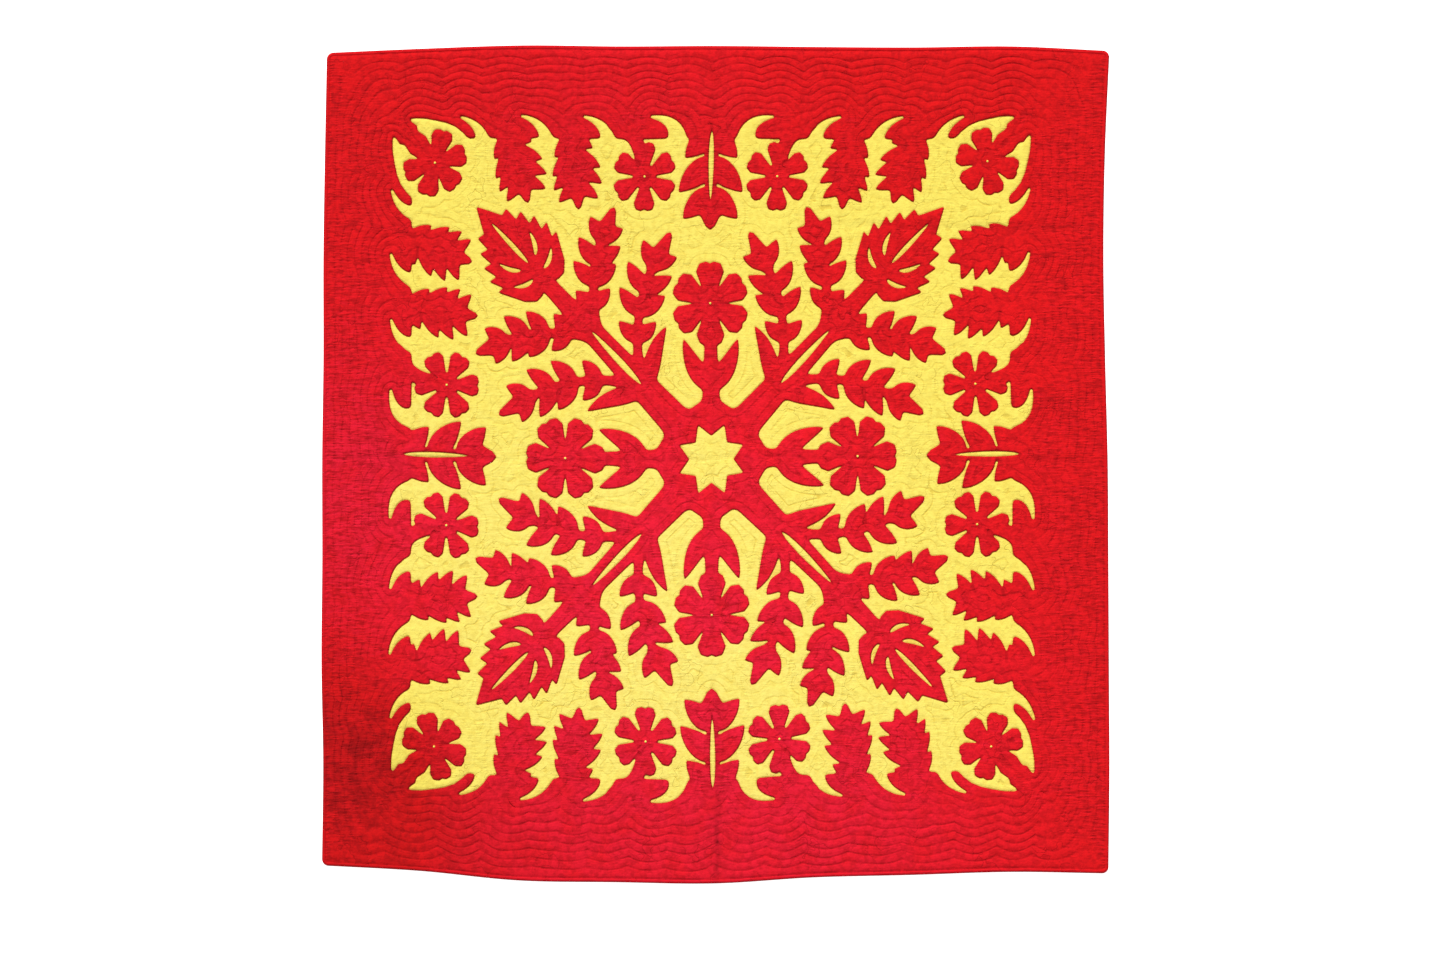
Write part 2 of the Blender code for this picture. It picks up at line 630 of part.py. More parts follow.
def build():
    for old in list(bpy.data.objects):
        bpy.data.objects.remove(old, do_unlink=True)
    field = pattern_field()
    field_origin = -(field.shape[0] - 1) / 2 * GRID_STEP
    cuts = trace(field, 0.0, GRID_STEP, field_origin)
    cuts = [loop + DESIGN_SHIFT for loop in cuts if abs(loop_area(loop)) > LEAST_AREA]
    fine = [lay_out(loop) for loop in cuts]
    ruler, origin = echo_ruler(fine, field, field_origin)
    outlines = [thin_loop(loop, OUTLINE_THIN) for loop in fine if abs(loop_area(loop)) > LEAST_LOOP]
    plant = min(outlines, key=loop_area)
    holes = [loop for loop in outlines if loop is not plant and within(loop[:1], [plant])[0]]
    openings = [loop for loop in outlines
                if loop is not plant and not any(loop is hole for hole in holes)]
    rim = rim_loop(RIM_INSET, RIM_STRAIGHT, RIM_ARC)
    frame_outlines = [rim] + openings
    plant_outlines = [plant] + holes

    def split(loops, outlines):
        kept = within(np.array([loop[0] for loop in loops]), outlines)
        return [loop for loop, inside in zip(loops, kept) if inside]

    rings = [loop for row in RING_LEVELS for loop in ring_loops(ruler, origin, row, RING_THIN)]
    folds = fold_lines(ruler, origin, lambda rows: rows < -0.40)
    folds += [point for row, gap in CUT_POINTS for point in loose_points(ruler, origin, row, gap)]
    lip = rim_loop(BINDING_WIDTH + 0.002, RIM_STRAIGHT, RIM_ARC)

    def cut_top(points, edge):
        rows = sample(ruler, points, RULER_STEP, origin)
        height = CUT_LOW + (CUT_HIGH - CUT_LOW) * bump(-rows) + fold_height(points)
        flat = rim_gap(points) < 0.0006
        height[flat] = CUT_LOW
        height[list(edge)] = CUT_LOW
        return height

    def level(value):
        return lambda points, edge: np.full(len(points), value)

    frame_top = triangulate(frame_outlines, [lip] + split(rings, frame_outlines),
                            split(folds, frame_outlines))
    frame = solid_from("applique_frame", frame_outlines, frame_top,
                       triangulate(frame_outlines, [], []), cut_top, level(CUT_UNDER))
    plant_top = triangulate(plant_outlines, split(rings, plant_outlines), split(folds, plant_outlines))
    centre = solid_from("applique_centre", plant_outlines, plant_top,
                        triangulate(plant_outlines, [], []), cut_top, level(CUT_UNDER))

    def body_top(points, edge):
        rows = sample(ruler, points, RULER_STEP, origin)
        first = BODY_LOW + (BODY_HIGH - BODY_LOW) * np.clip(
            (rows - HILL_FOOT) / (HILL_TOP - HILL_FOOT), 0.0, 1.0)
        later = BODY_VALLEY + (BODY_HIGH - BODY_VALLEY) * bump(rows - 0.35)
        height = np.where(rows > HILL_TOP, later, first)
        return height + np.where(rows > HILL_FOOT + 0.02, fold_height(points), 0.0)

    hills = ring_loops(ruler, origin, HILL_FOOT, HILL_THIN)
    hills = [loop for loop in hills if len(loop) > 3]
    body_folds = fold_lines(ruler, origin, lambda rows: rows > 0.60)
    crests = [point for row, gap in HILL_POINTS for point in loose_points(ruler, origin, row, gap)]
    body_folds = split(body_folds, hills) + split(crests, hills)
    step = rim_loop(STEP_INSET, RIM_STRAIGHT, RIM_ARC)
    floor = rim_loop(FLOOR_INSET, RIM_STRAIGHT, RIM_ARC)

    def body_under(points, edge):
        height = np.zeros(len(points))
        raised = within(points, [floor * 0.9999]) == 0
        height[raised] = RIM_UNDER
        on_floor = np.zeros(len(points), bool)
        for x, y in floor:
            on_floor |= np.hypot(points[:, 0] - x, points[:, 1] - y) < 1e-5
        height[on_floor] = 0.0
        return height

    body = solid_from("quilt_body", [rim], triangulate([rim], hills, body_folds),
                      triangulate([rim], [step, floor], []), body_top, body_under)
    binding = bound_edge("binding")
    dye(body, "yellow_cotton", (0.92, 0.76, 0.125))
    dye(frame, "red_cotton_frame", (0.68, 0.012, 0.020))
    dye(centre, "red_cotton_centre", (0.68, 0.012, 0.020))
    dye(binding, "red_cotton_binding", (0.60, 0.010, 0.018))
    parts = (body, frame, centre, binding)
    low = min(v.co.x for part in parts for v in part.data.vertices)
    high = max(v.co.x for part in parts for v in part.data.vertices)
    near = min(v.co.y for part in parts for v in part.data.vertices)
    far = max(v.co.y for part in parts for v in part.data.vertices)
    for part in parts:
        for v in part.data.vertices:
            v.co.x -= (low + high) / 2
            v.co.y -= (near + far) / 2


build()
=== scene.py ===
"""The looks of a flat two-colour bed cover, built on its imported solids."""
import json
import math

import bpy
import numpy as np
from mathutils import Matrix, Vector, kdtree, noise
from mathutils.geometry import delaunay_2d_cdt

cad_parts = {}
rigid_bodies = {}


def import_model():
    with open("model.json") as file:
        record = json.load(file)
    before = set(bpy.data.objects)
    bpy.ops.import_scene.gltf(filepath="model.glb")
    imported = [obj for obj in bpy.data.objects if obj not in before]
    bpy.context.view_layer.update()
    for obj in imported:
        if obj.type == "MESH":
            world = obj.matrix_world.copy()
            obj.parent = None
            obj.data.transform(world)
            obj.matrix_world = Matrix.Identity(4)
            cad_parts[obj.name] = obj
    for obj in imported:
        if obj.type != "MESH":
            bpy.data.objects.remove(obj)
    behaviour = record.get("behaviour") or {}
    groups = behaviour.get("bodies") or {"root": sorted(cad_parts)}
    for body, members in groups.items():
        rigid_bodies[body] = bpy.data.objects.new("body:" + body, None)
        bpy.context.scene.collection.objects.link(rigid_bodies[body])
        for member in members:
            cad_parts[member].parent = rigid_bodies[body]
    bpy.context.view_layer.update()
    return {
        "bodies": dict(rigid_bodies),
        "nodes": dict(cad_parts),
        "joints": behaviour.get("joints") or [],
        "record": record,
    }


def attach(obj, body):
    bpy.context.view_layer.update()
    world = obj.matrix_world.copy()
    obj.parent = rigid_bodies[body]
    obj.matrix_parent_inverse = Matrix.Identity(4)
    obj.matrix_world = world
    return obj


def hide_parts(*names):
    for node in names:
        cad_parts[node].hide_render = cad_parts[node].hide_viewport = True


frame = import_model()

# Heights, in metres.
BACK_PUFF = 0.0009
BODY_HIDDEN = 0.0032
BODY_EDGE = 0.0036
BODY_PUFF = 0.0017
CUT_UNDER = 0.0036
CUT_EDGE = 0.0052
CUT_PUFF = 0.0021
CUT_LIFT = 0.0004
RIM_UNDER = 0.0014
BINDING_TOP = 0.0066
BINDING_LIP = 0.0010
BINDING_FACE = 0.0040
BINDING_CRINKLE = 0.0005
CRINKLE_FINE = 0.00045
CRINKLE_BROAD = 0.0004
# Flat sizes of the sheets, in metres.
# Widths from the outer edge or from a cut edge, in metres.
BINDING_WALL = 0.0015
BINDING_WIDTH = 0.0120
TURNED_EDGE = 0.0026
RIM_GUARD = 0.002
RIM_INSET = 0.0019
STEP_INSET = 0.0130
FLOOR_INSET = 0.0145
BODY_RISE = 0.0030
RIM_LIFT = 0.0035
LOFT_FADE = 0.004
SWELL_FADE = 0.030
# Points along each side of the rim and round each corner.
RIM_STRAIGHT = 150
RIM_ARC = 9
# Echo quilting.
RULER_MARGIN = 0.02
ECHO_GAP = 0.0254
BORDER_ROWS = 9
RIM_ROUND = 2.2
BORDER_FROM = 0.225
BORDER_TO = 0.315
RULER_STEP = 0.005
ROW_WOBBLE = 0.17
ROW_FADE = 1.5
SCALLOP = 0.140
SCALLOP_ROWS = 0.72
SCALLOP_MEAN = 0.64
SCALLOP_DRIFT = 0.45
SIDE_SCALLOP = 0.6
ROW_PARTS = (0.0, 0.16, 0.5, 0.84)
CLEAR_ROWS = 0.3
YELLOW_ROWS = 4
RED_EDGES = (-0.0013, -0.0042)
YELLOW_EDGES = (0.0015, 0.0045)
LINE_THIN = 0.0005
LINE_GAP = 0.0125
BACK_THIN = 0.0020
BACK_GAP = 0.040
LEAST_LOOP = 0.00006
# Soft folds from storage: axis that the fold crosses, place, height, half width, reach from, reach to.
FOLDS = (
    (0, -0.598, 0.0024, 0.012, -1.24, 1.24),
    (0, -0.003, -0.0010, 0.011, -1.24, 1.24),
    (0, 0.002, -0.0036, 0.0060, -1.350, -0.96),
    (0, 0.586, 0.0022, 0.012, -1.24, 1.24),
    (1, 0.017, -0.0016, 0.0055, -1.17, 1.17),
    (1, 0.725, -0.0014, 0.012, 0.30, 1.17),
)
FOLD_DRIFT = 0.006
FOLD_KINK = 0.0024
FOLD_FADE = 0.08
FOLD_SHADE = 90.0
DEEPEST_FOLD = 0.0016
# Broad soft swells: centre x, centre y, height, spread in metres.
SWELLS = (
    (-1.00, -0.75, 0.0020, 0.22),
    (-0.30, 1.10, 0.0022, 0.20),
    (0.85, 0.30, 0.0018, 0.30),
    (0.30, -0.95, 0.0020, 0.22),
    (-0.55, 0.35, 0.0014, 0.25),
)
# Painted light and shade, darker and lighter places across the cloth: centre x, centre y, change, spread
# in metres.
PAINTED_SHADING_SPOTS = (
    (-1.12, -0.87, -0.29, 0.25),
    (-0.95, -1.14, -0.15, 0.28),
    (-1.15, 0.35, 0.05, 0.50),
    (-0.85, -0.45, 0.06, 0.40),
    (0.80, -0.75, 0.05, 0.40),
    (1.00, 0.30, 0.05, 0.45),
    (0.00, 1.22, 0.03, 0.50),
    (1.10, 0.80, 0.04, 0.35),
    (0.15, -0.60, 0.05, 0.70),
    (0.00, 0.00, 0.12, 0.75),
)
# How full the quilting is, and the heights of the small ridges and pulled threads.
RELIEF_FROM = 0.165
RELIEF_FADE = 0.10
UNEVEN = 0.35
RED_FIELD_RELIEF = 1.10
YELLOW_FIELD_RELIEF = 0.70
BORDER_RELIEF = 1.70
PULL_LEAST = 0.0009
PULL_MORE = 0.0024
PETAL_RIDGE = 0.0007
WEAVE_HIGH = 0.00012
GRAIN_HIGH = 0.0004
CRUMPLE_HIGH = 0.0011
UPRIGHT_PULL = 2.1
VALLEY_DEEP = 0.0005
CREASE_DEEP = 0.0008
# Places with a painted sheen, where the red looks pinker: centre x, centre y, share, spread in metres.
PAINTED_SHEEN_SPOTS = (
    (-0.25, -0.55, 1.00, 0.85),
    (-1.12, -0.05, 0.55, 0.35),
    (0.45, -1.05, 0.35, 0.45),
    (-0.30, 0.95, 0.25, 0.50),
    (-1.15, -0.95, -0.75, 0.35),
)
# Each cloth's colours, and how much the painted shade in the valleys, on the puckers and at the edges,
# and the painted broad light and shade, show on it.
COTTONS = {
    # colour, painted shade, painted highlight, painted edge shade, valley shade share, pucker share,
    # edge shade share, painted light and shade share
    "red_cotton": ((0.635, 0.0054, 0.0068), (0.270, 0.0022, 0.0042), (0.660, 0.0090, 0.0330),
                   (0.270, 0.0022, 0.0042), 0.55, 0.55, 0.46, 1.0),
    "red_trim": ((0.580, 0.0045, 0.0070), (0.270, 0.0022, 0.0040), (0.600, 0.0080, 0.0280),
                 (0.270, 0.0022, 0.0040), 0.0, 0.0, 0.75, 1.0),
    "yellow_cotton": ((0.820, 0.681, 0.109), (0.600, 0.400, 0.038), (0.820, 0.689, 0.157),
                      (0.820, 0.240, 0.050), 0.54, 0.15, 0.12, 0.25),
}
ROUGHNESS = 0.85
SHEEN = 0.03
SHEEN_ROUGHNESS = 0.4
SPECULAR = 0.10
# Widths over which the painted shade along the cut and outer edges fades.
EDGE_SHADE_WIDTHS = (0.0012, 0.0048)
# Stitches, knots and the bake map.
STITCH_PITCH = 0.0080
STITCH_LONG = 0.0048
STITCH_WIDE = 0.0009
STITCH_HIGH = 0.0005
STITCH_SINK = 0.0002
LEAST_STITCHES = 5
KNOT_RADIUS = 0.0034
KNOT_HIGH = 0.0016
KNOT_SINK = 0.0004
KNOT_SIDES = 14
MAP_SPAN = 2.1
MAP_EDGE = 0.01
BACK_FIT = 0.96
BACK_FROM = 0.98
# The part of each piece's bake map that its back and walls take.
BACK_SHARE = {"quilt_cloth": 0.26, "red_frame": 0.03, "red_centre": 0.03, "edge_binding": 0.0,
              "red_stitches": 0.0, "yellow_stitches": 0.0, "flower_knots": 0.0}
# The floor, the light and the camera.
FLOOR_HALF = 60.0
FLOOR_Z = -0.0004
WHITE = (1.0, 1.0, 1.0, 1.0)
FLOOR_GREY = 0.93
FLOOR_ROUGHNESS = 0.9
FLOOR_GLOW = 0.75
SKY = 0.55
SUN_POWER = 4.2
SUN_WIDTH = 14
SUN_WAY = (0.24, -1.0, -0.60)
PIXEL = 0.003042
CAMERA_X = 0.0213
CAMERA_Y = -0.0517
LENS = 85.0
SENSOR = 36.0
IMAGE_WIDE = 1445

# The cloth, in metres.
HALF_WIDTH = 1.200
HALF_LENGTH = 1.276
DESIGN_SHIFT = (-0.0089, 0.0131)
CORNER_RADIUS = 0.020
# The uneven outline: place along a side from -1 to 1, and where each side runs, in metres.
SIDES = (
    # place, left x, right x, bottom y, top y
    (-1.00, -1.1985, 1.1939, -1.2198, 1.2518),
    (-0.75, -1.1949, 1.1970, -1.2366, 1.2649),
    (-0.50, -1.2000, 1.1955, -1.2655, 1.2746),
    (-0.25, -1.1976, 1.1939, -1.2709, 1.2716),
    (0.00, -1.1979, 1.1919, -1.2746, 1.2731),
    (0.25, -1.1940, 1.1842, -1.2563, 1.2700),
    (0.50, -1.1940, 1.1788, -1.2487, 1.2685),
    (0.75, -1.1894, 1.1833, -1.2396, 1.2716),
    (1.00, -1.1833, 1.1970, -1.2441, 1.2579),
)


def side_run(place, column):
    """One side's position, smooth between the rows of the table."""
    rows = np.array(SIDES)
    gap = rows[1, 0] - rows[0, 0]
    where = np.clip((place - rows[0, 0]) / gap, 0.0, len(rows) - 1.0)
    k = np.minimum(where.astype(int), len(rows) - 2)
    f = where - k
    value = rows[:, column]
    slope = np.gradient(value)
    return (value[k] * (1 + 2 * f) * (1 - f) ** 2 + slope[k] * f * (1 - f) ** 2
            + value[k + 1] * f * f * (3 - 2 * f) + slope[k + 1] * f * f * (f - 1))


def lay_out(points):
    """From pattern units, -1 to 1 each way, to metres on the uneven cloth."""
    points = np.asarray(points, float)
    s, t = points[:, 0], points[:, 1]
    left, right = side_run(t, 1), side_run(t, 2)
    bottom, top = side_run(s, 3), side_run(s, 4)
    x = left + (right - left) * (s + 1) / 2
    y = bottom + (top - bottom) * (t + 1) / 2
    return np.stack([x, y], axis=1)


def pattern_place(points):
    """From metres on the uneven cloth back to pattern units, -1 to 1 each way."""
    points = np.asarray(points, float)
    x, y = points[:, 0], points[:, 1]
    s, t = x / HALF_WIDTH, y / HALF_LENGTH
    for _ in range(4):
        left, right = side_run(t, 1), side_run(t, 2)
        s = 2 * (x - left) / (right - left) - 1
        bottom, top = side_run(s, 3), side_run(s, 4)
        t = 2 * (y - bottom) / (top - bottom) - 1
    return np.stack([s, t], axis=1)


def rim_loop(inset, straight=RIM_STRAIGHT, arc=RIM_ARC):
    """The outline of the cloth drawn in by an inset, with small round corners."""
    wide, long = HALF_WIDTH - inset, HALF_LENGTH - inset
    radius = max(CORNER_RADIUS - inset, 0.002)
    points = []
    for turn in range(4):
        angle = math.pi / 2 * turn
        hand_x = 1 if turn in (0, 3) else -1
        hand_y = 1 if turn in (0, 1) else -1
        for i in range(arc):
            bend = angle + math.pi / 2 * i / (arc - 1)
            points.append((hand_x * (wide - radius) + radius * math.cos(bend),
                           hand_y * (long - radius) + radius * math.sin(bend)))
        after = math.pi / 2 * (turn + 1)
        next_x = 1 if turn in (3, 2) else -1
        next_y = 1 if turn in (0, 3) else -1
        end = points[-1]
        start = (next_x * (wide - radius) + radius * math.cos(after),
                 next_y * (long - radius) + radius * math.sin(after))
        for i in range(1, straight):
            share = i / straight
            points.append((end[0] + (start[0] - end[0]) * share, end[1] + (start[1] - end[1]) * share))
    return lay_out(np.array(points) / (HALF_WIDTH, HALF_LENGTH))


# The pattern, in units of half the quilt's width, for the eighth between an axis and a diagonal.
# Each row is mirrored over both, as in cloth that is folded three times and cut.
GRID_STEP = 0.0025
GRID_REACH = 0.840
FRAME_EDGE = 0.765
SOFT_JOIN = 0.010
LEAST_AREA = 0.00012

# grows from, start, bend, end, width at start, width at end
STEMS = (
    ("centre", (0.100, 0.000), (0.200, 0.000), (0.300, 0.000), 0.044, 0.024),
    ("centre", (0.070, 0.070), (0.250, 0.250), (0.460, 0.460), 0.078, 0.030),
    ("frame", (0.815, 0.250), (0.780, 0.190), (0.715, 0.182), 0.050, 0.024),
    ("frame", (0.840, 0.840), (0.780, 0.780), (0.720, 0.720), 0.062, 0.030),
)
# grows from, start, bend, end, width
LEAVES = (
    ("centre", (0.165, 0.000), (0.208, 0.045), (0.288, 0.070), 0.046),
    ("centre", (0.175, 0.150), (0.245, 0.160), (0.318, 0.112), 0.042),
)
# grows from, start, bend, end, pairs, leaflet length, leaflet width, lean in degrees, first pair
SPRAYS = (
    ("centre", (0.200, 0.180), (0.380, 0.212), (0.535, 0.105), 4, 0.080, 0.042, 50, 0.26),
    ("centre", (0.290, 0.285), (0.445, 0.325), (0.594, 0.250), 4, 0.074, 0.042, 50, 0.26),
    ("frame", (0.815, 0.000), (0.700, 0.000), (0.560, 0.000), 3, 0.104, 0.054, 50, 0.18),
    ("frame", (0.815, 0.375), (0.720, 0.345), (0.604, 0.338), 4, 0.080, 0.034, 54, 0.26),
    ("frame", (0.815, 0.545), (0.725, 0.500), (0.618, 0.470), 4, 0.082, 0.034, 54, 0.26),
)
# grows from, centre, radius, petals, turn in degrees, inner end of the cuts, width of the cuts
FLOWERS = (
    ("centre", (0.372, 0.000), 0.098, 6, 0, 0.38, 0.0085),
    ("frame", (0.675, 0.170), 0.083, 6, 180, 0.36, 0.0085),
    ("frame", (0.708, 0.708), 0.080, 6, 45, 0.38, 0.0085),
)
HEART_LEAF = ((0.440, 0.440), (0.597, 0.597), 0.195)
HEART_ROWS = (
    # along the leaf, across it
    (0.00, 0.00), (-0.10, 0.14), (-0.19, 0.30), (-0.19, 0.50), (-0.10, 0.72), (0.02, 0.86),
    (0.17, 1.04), (0.16, 0.86), (0.32, 1.02), (0.30, 0.80), (0.47, 0.90), (0.44, 0.68),
    (0.61, 0.72), (0.58, 0.50), (0.75, 0.50), (0.73, 0.32), (1.00, 0.00),
)
HUB = (0.150, 0.128)
STAR = (0.088, 0.056)
STAR_POINTS = 8
# yellow tongues in the frame: start, bend, end, width at start, width at end
TONGUES = (
    ((0.720, 0.095), (0.812, 0.066), (0.818, 0.158), 0.066, 0.006),
    ((0.720, 0.268), (0.800, 0.250), (0.818, 0.330), 0.050, 0.006),
    ((0.690, 0.418), (0.800, 0.405), (0.818, 0.490), 0.050, 0.006),
    ((0.700, 0.590), (0.790, 0.565), (0.818, 0.645), 0.050, 0.006),
    ((0.740, 0.680), (0.812, 0.690), (0.812, 0.790), 0.056, 0.008),
)
# a round yellow clearing about the corner flower: centre, radius
CLEARING = ((0.708, 0.708), 0.098)
# narrow cuts inside the leaves and stems: start, bend, end, width
VEINS = (
    ((0.462, 0.462), (0.510, 0.510), (0.568, 0.568), 0.012),
    ((0.482, 0.448), (0.510, 0.442), (0.545, 0.466), 0.011),
    ((0.452, 0.428), (0.470, 0.405), (0.508, 0.408), 0.011),
    ((0.175, 0.175), (0.240, 0.240), (0.310, 0.310), 0.016),
    ((0.790, 0.000), (0.700, 0.000), (0.610, 0.000), 0.013),
)


def bezier(start, bend, end, count):
    """Points, directions and left-hand normals along a bent line."""
    t = np.linspace(0.0, 1.0, count)[:, None]
    start, bend, end = np.array(start), np.array(bend), np.array(end)
    points = (1 - t) ** 2 * start + 2 * t * (1 - t) * bend + t ** 2 * end
    slope = 2 * (1 - t) * (bend - start) + 2 * t * (end - bend)
    slope = slope / np.linalg.norm(slope, axis=1)[:, None]
    return points, slope, np.stack([-slope[:, 1], slope[:, 0]], axis=1)


def stem(start, bend, end, width_start, width_end, count=13):
    points, _, side = bezier(start, bend, end, count)
    half = np.linspace(width_start, width_end, count)[:, None] / 2
    return np.concatenate([points + side * half, (points - side * half)[::-1]])


def leaf(start, bend, end, width, count=13):
    points, _, side = bezier(start, bend, end, count)
    t = np.linspace(0.0, 1.0, count)
    half = (width / 2 * np.maximum(np.sin(math.pi * t ** 0.8), 0.0) ** 0.8)[:, None]
    return np.concatenate([points + side * half, (points - side * half)[1:-1][::-1]])


def spray(start, bend, end, pairs, reach, width, lean, first):
    """A rib with pairs of leaflets that lean to its tip, and one leaflet at the tip."""
    count = 61
    points, slope, side = bezier(start, bend, end, count)
    shapes = [stem(start, bend, end, width * 0.60, width * 0.30)]
    angle = math.radians(lean)
    for i in range(pairs):
        k = int((first + (0.90 - first) * i / (pairs - 0.4)) * (count - 1))
        size = math.sin(math.pi * (0.22 + 0.62 * (i + 0.3) / pairs)) ** 0.8
        for hand in (1, -1):
            out = slope[k] * math.cos(angle) + side[k] * hand * math.sin(angle)
            far = points[k] + out * reach * size
            knee = points[k] + out * reach * size * 0.5 - slope[k] * reach * size * 0.10
            broad = width * (0.55 + 0.45 * size)
            shapes.append(leaf(points[k] - out * width * 0.2, knee, far, broad, 9))
    last = points[int((count - 1) * 0.70)]
    tip = points[-1] + slope[-1] * 0.010
    shapes.append(leaf(last, (last + tip) / 2, tip, width, 9))
    return shapes


def flower(centre, radius, petals, turn, inner, cut):
    """Round petals with a dip at the end, parted by narrow cuts."""
    pitch = 2 * math.pi / petals
    near = inner * radius
    edge_in = cut * 0.30 / near
    edge_out = cut * 1.25 / radius
    rows = ((-pitch / 2 + edge_in, near), (-pitch / 2 + edge_out, radius * 0.84),
            (-pitch * 0.26, radius * 0.985), (-pitch * 0.10, radius), (0.0, radius * 0.94),
            (pitch * 0.10, radius), (pitch * 0.26, radius * 0.985),
            (pitch / 2 - edge_out, radius * 0.84), (pitch / 2 - edge_in, near))
    points = []
    for i in range(petals):
        for angle, distance in rows:
            around = math.radians(turn) + i * pitch + angle
            points.append((centre[0] + distance * math.cos(around),
                           centre[1] + distance * math.sin(around)))
    return np.array(points)


def star(outer, inner, count, turn):
    angle = turn + np.arange(2 * count) * math.pi / count
    radius = np.where(np.arange(2 * count) % 2 == 0, outer, inner)
    return np.stack([radius * np.cos(angle), radius * np.sin(angle)], axis=1)


def heart_leaf(base, tip, width):
    base, tip = np.array(base), np.array(tip)
    along = tip - base
    across = np.array([-along[1], along[0]]) / np.linalg.norm(along) * width / 2
    left = [base + along * a + across * w for a, w in HEART_ROWS]
    right = [base + along * a - across * w for a, w in HEART_ROWS[1:-1]]
    return np.array(left + right[::-1])


def outline_distance(x, y, outline):
    """Distance from points to a closed outline, below zero inside it."""
    best = np.full(x.shape, 1e9)
    inside = np.zeros(x.shape, bool)
    for (ax, ay), (bx, by) in zip(outline, np.roll(outline, -1, axis=0)):
        dx, dy = bx - ax, by - ay
        t = np.clip(((x - ax) * dx + (y - ay) * dy) / max(dx * dx + dy * dy, 1e-12), 0.0, 1.0)
        best = np.minimum(best, (x - ax - t * dx) ** 2 + (y - ay - t * dy) ** 2)
        if ay != by:
            inside ^= ((ay > y) != (by > y)) & (x < dx * (y - ay) / dy + ax)
    return np.where(inside, -np.sqrt(best), np.sqrt(best))


def soft_union(a, b):
    blend = np.clip(0.5 + 0.5 * (b - a) / SOFT_JOIN, 0.0, 1.0)
    return b * (1 - blend) + a * blend - SOFT_JOIN * blend * (1 - blend)


def grow(values, x, y, shapes, join):
    """Joins shapes and their mirror copies to the field of values."""
    for shape in shapes:
        for copy in (shape, shape * (1, -1), shape[:, ::-1]):
            low, high = copy.min(axis=0) - 0.05, copy.max(axis=0) + 0.05
            near = (x > low[0]) & (x < high[0]) & (y > low[1]) & (y < high[1])
            if near.any():
                values[near] = join(values[near], outline_distance(x[near], y[near], copy))
    return values


def pattern_field():
    """Below zero on red cloth, above zero where the yellow cloth shows."""
    shapes = {"centre": [star(HUB[0], HUB[1], STAR_POINTS, 0.0), heart_leaf(*HEART_LEAF)], "frame": []}
    for where, *row in STEMS:
        shapes[where].append(stem(*row))
    for where, *row in LEAVES:
        shapes[where].append(leaf(*row))
    for where, *row in SPRAYS:
        shapes[where] += spray(*row)
    for where, *row in FLOWERS:
        shapes[where].append(flower(*row))
    count = int(round(GRID_REACH / GRID_STEP)) + 1
    axis = np.arange(count) * GRID_STEP
    x, y = np.meshgrid(axis, axis, indexing="ij")
    low = y <= x + GRID_STEP / 2
    x, y = x[low], y[low]
    tongues = [stem(*row) for row in TONGUES]
    tongues.append(star(CLEARING[1], CLEARING[1], 12, 0.0) + CLEARING[0])
    frame = FRAME_EDGE - x
    frame = -grow(-frame, x, y, tongues, soft_union)
    frame = grow(frame, x, y, shapes["frame"], soft_union)
    centre = grow(np.full(x.shape, 0.05), x, y, shapes["centre"], soft_union)
    red = np.minimum(frame, centre)
    cuts = [leaf(*row, 9) for row in VEINS]
    cuts.append(star(STAR[0], STAR[1], STAR_POINTS, math.pi / STAR_POINTS))
    red = grow(red, x, y, cuts, lambda a, b: np.maximum(a, -b))
    eighth = np.zeros((count, count))
    eighth[low] = red
    quarter = np.where(low, eighth, eighth.T)
    half = np.concatenate([quarter[:0:-1], quarter], axis=0)
    return np.concatenate([half[:, :0:-1], half], axis=1)


# which sides of a grid cell an outline joins, by the corners that are on red cloth
CELL_LINKS = {
    1: ("ws",), 2: ("se",), 3: ("we",), 4: ("en",), 5: ("ws", "en"), 6: ("sn",), 7: ("wn",), 8: ("nw",),
    9: ("ns",), 10: ("se", "nw"), 11: ("ne",), 12: ("ew",), 13: ("es",), 14: ("sw",),
}


def trace(values, level, step, origin):
    """Closed outlines where the values on a square grid cross a level."""
    field = values - level
    field = np.where(field == 0.0, 1e-9, field)
    inside = field < 0
    code = inside[:-1, :-1] * 1 + inside[1:, :-1] * 2 + inside[1:, 1:] * 4 + inside[:-1, 1:] * 8
    links = {}
    for i, j in np.argwhere((code > 0) & (code < 15)):
        sides = {"s": (0, i, j), "n": (0, i, j + 1), "w": (1, i, j), "e": (1, i + 1, j)}
        for pair in CELL_LINKS[int(code[i, j])]:
            links[sides[pair[0]]] = sides[pair[1]]
    loops = []
    while links:
        first, now = links.popitem()
        loop = [first]
        while now != first and now in links:
            loop.append(now)
            now = links.pop(now)
        if now != first or len(loop) < 3:
            continue
        points = []
        for turn, i, j in loop:
            a = field[i, j]
            b = field[i, j + 1] if turn else field[i + 1, j]
            share = a / (a - b)
            points.append((i, j + share) if turn else (i + share, j))
        loops.append(np.array(points) * step + origin)
    return loops


def loop_area(loop):
    after = np.roll(loop, -1, axis=0)
    return 0.5 * float(np.sum(loop[:, 0] * after[:, 1] - after[:, 0] * loop[:, 1]))


def thin_loop(loop, tolerance):
    """Keeps the points of an outline that it needs to stay within a tolerance."""
    loop = np.roll(loop, -int(np.argmax(np.sum(loop * loop, axis=1))), axis=0)
    count = len(loop)
    far = int(np.argmax(np.sum((loop - loop[0]) ** 2, axis=1)))
    ring = np.concatenate([loop, loop[:1]])
    keep = {0, far}
    spans = [(0, far), (far, count)]
    while spans:
        a, b = spans.pop()
        if b - a < 2:
            continue
        chord = ring[b] - ring[a]
        gap = ring[a + 1:b] - ring[a]
        t = np.clip(gap @ chord / max(float(chord @ chord), 1e-12), 0.0, 1.0)
        off = np.linalg.norm(gap - t[:, None] * chord, axis=1)
        k = int(np.argmax(off))
        if off[k] > tolerance:
            keep.add(a + 1 + k)
            spans += [(a, a + 1 + k), (a + 1 + k, b)]
    return loop[sorted(keep)]


